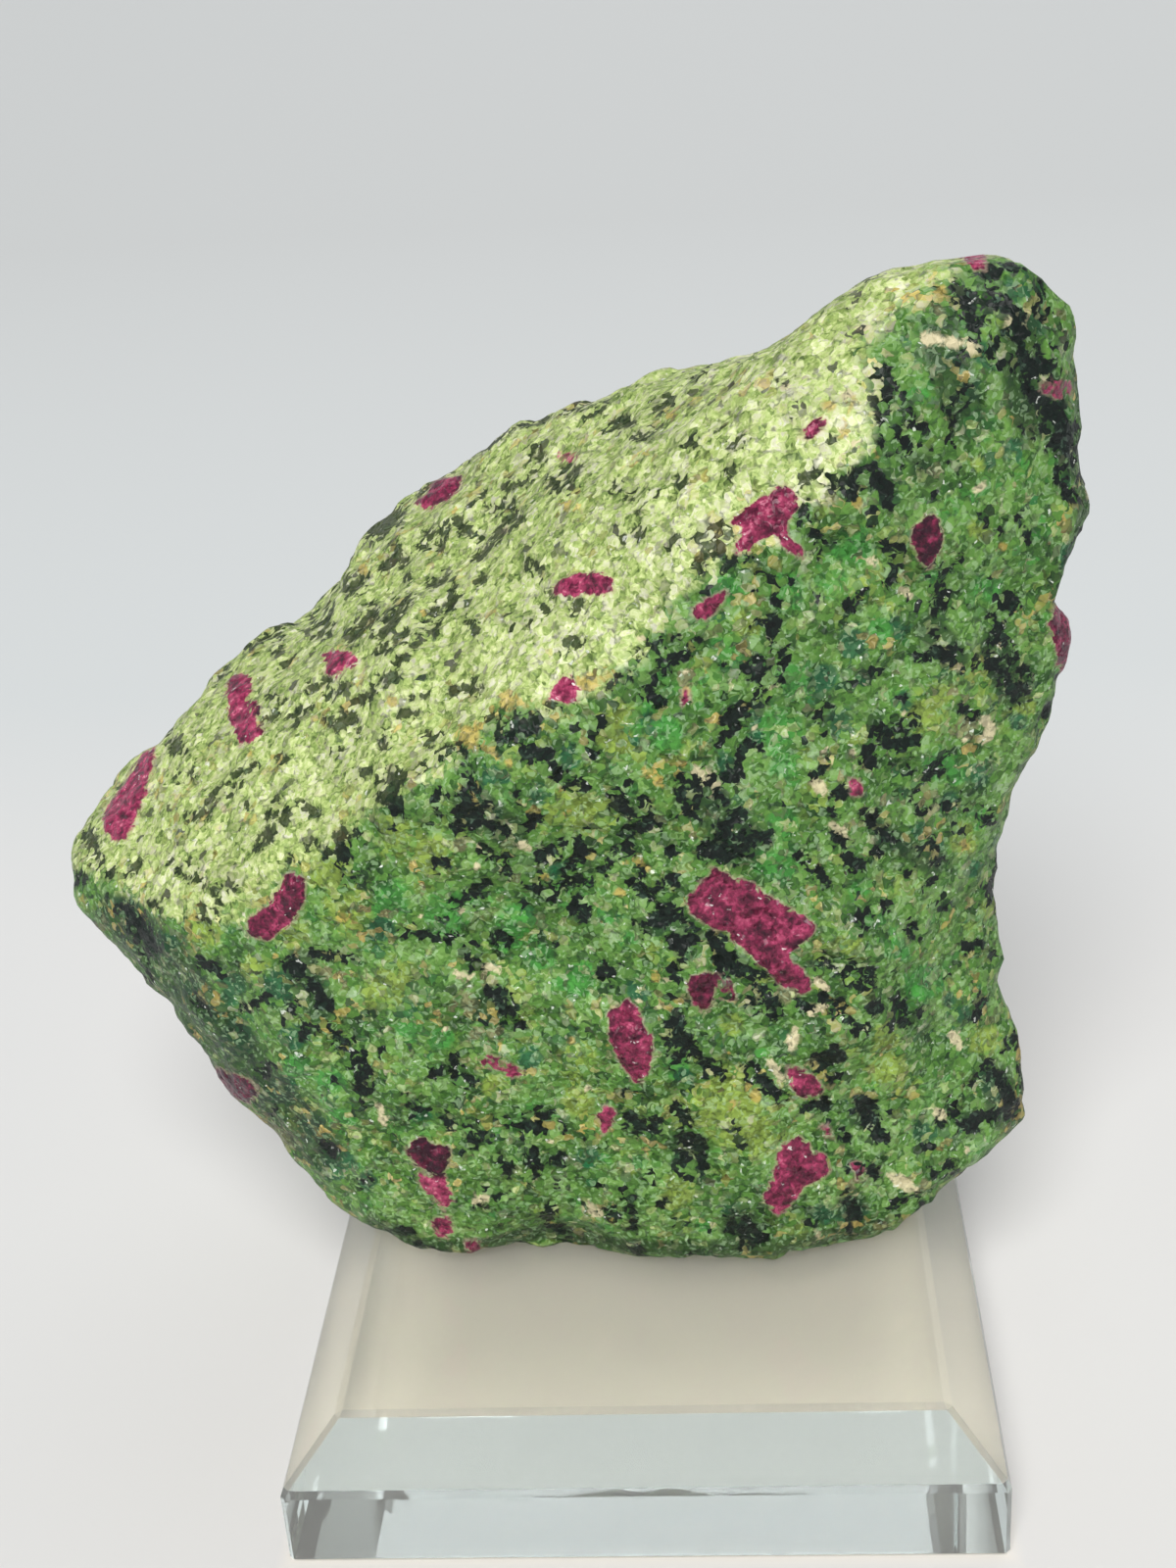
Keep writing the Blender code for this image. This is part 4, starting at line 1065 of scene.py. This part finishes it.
def glass_material():
    n = Nodes("clear_glass")
    n.put(n.shader.inputs["Base Color"], GLASS_COLOUR)
    n.shader.inputs["Roughness"].default_value = 0.0
    n.shader.inputs["IOR"].default_value = GLASS_IOR
    n.shader.inputs["Transmission Weight"].default_value = GLASS_TRANSMISSION
    n.shader.inputs["Specular Tint"].default_value = GLASS_REFLECTION
    depth = n.add("ShaderNodeVolumeAbsorption")
    depth.inputs["Color"].default_value = GLASS_DEPTH_COLOUR
    depth.inputs["Density"].default_value = GLASS_DEPTH_DENSITY
    n.tree.links.new(depth.outputs["Volume"], n.output.inputs["Volume"])
    return n.material


def floor_material():
    n = Nodes("studio_floor")
    place = n.add("ShaderNodeTexCoord").outputs["Object"]
    across, along = n.split(n.vector("ABSOLUTE", place))[:2]
    distance = n.math("MAXIMUM", across, along)
    # painted light: the floor lighter and warmer under the block and darker further out
    n.put(n.shader.inputs["Base Color"], n.ramp(distance, *FLOOR_TONES_AND_PAINTED_LIGHT))
    n.shader.inputs["Roughness"].default_value = FLOOR_ROUGHNESS
    n.shader.inputs["Specular IOR Level"].default_value = FLOOR_SPECULAR
    return n.material


# ================================================================ studio

def add_floor():
    form = bmesh.new()
    bmesh.ops.create_circle(form, cap_ends=True, segments=FLOOR_SIDES, radius=FLOOR_RADIUS)
    mesh = bpy.data.meshes.new("floor")
    form.to_mesh(mesh)
    form.free()
    floor = bpy.data.objects.new("studio_floor", mesh)
    floor.location.z = -FLOOR_DROP
    mesh.materials.append(floor_material())
    bpy.context.scene.collection.objects.link(floor)


def add_lamp(name, source, spread, strength, colour):
    """A broad, even light from one direction, with soft shadows."""
    lamp = bpy.data.lights.new(name, "SUN")
    lamp.angle = spread
    lamp.energy = strength
    lamp.color = colour
    holder = bpy.data.objects.new(name, lamp)
    holder.rotation_euler = (-Vector(source)).to_track_quat("-Z", "Y").to_euler()
    bpy.context.scene.collection.objects.link(holder)


def add_studio():
    world = bpy.data.worlds.new("studio")
    world.use_nodes = True
    tree = world.node_tree
    background = tree.nodes["Background"]
    background.inputs["Color"].default_value = (*SKY_COLOUR, 1.0)
    direction = tree.nodes.new("ShaderNodeSeparateXYZ")
    tree.links.new(tree.nodes.new("ShaderNodeTexCoord").outputs["Generated"], direction.inputs[0])
    fade = tree.nodes.new("ShaderNodeMapRange")
    tree.links.new(direction.outputs["Z"], fade.inputs["Value"])
    fade.inputs["From Max"].default_value = SKY_RISE
    fade.inputs["To Min"].default_value = SKY_AT_HORIZON
    fade.inputs["To Max"].default_value = SKY_OVERHEAD
    tree.links.new(fade.outputs["Result"], background.inputs["Strength"])
    bpy.context.scene.world = world
    add_lamp("back_softbox", BACK_FROM, BACK_SPREAD, BACK_STRENGTH, BACK_COLOUR)
    add_lamp("front_softbox", FRONT_FROM, FRONT_SPREAD, FRONT_STRENGTH, FRONT_COLOUR)
    bpy.context.scene.view_settings.view_transform = "Standard"


def add_camera():
    lens = bpy.data.cameras.new("camera")
    lens.sensor_width = SENSOR
    lens.lens = FOCAL_PIXELS * SENSOR / PHOTO_HEIGHT
    lens.clip_start = CLIP_START
    lens.clip_end = CLIP_END
    camera = bpy.data.objects.new("camera", lens)
    turn = Matrix((RIGHT, -DOWN, -FORWARD)).transposed()
    camera.matrix_world = Matrix.Translation(Vector(CAMERA_PLACE) * MM) @ turn.to_4x4()
    bpy.context.scene.collection.objects.link(camera)
    bpy.context.scene.camera = camera


def finish_block():
    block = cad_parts[BLOCK_NODE]
    block.data.materials.clear()
    block.data.materials.append(glass_material())


make_stone()
finish_block()
add_floor()
add_studio()
add_camera()
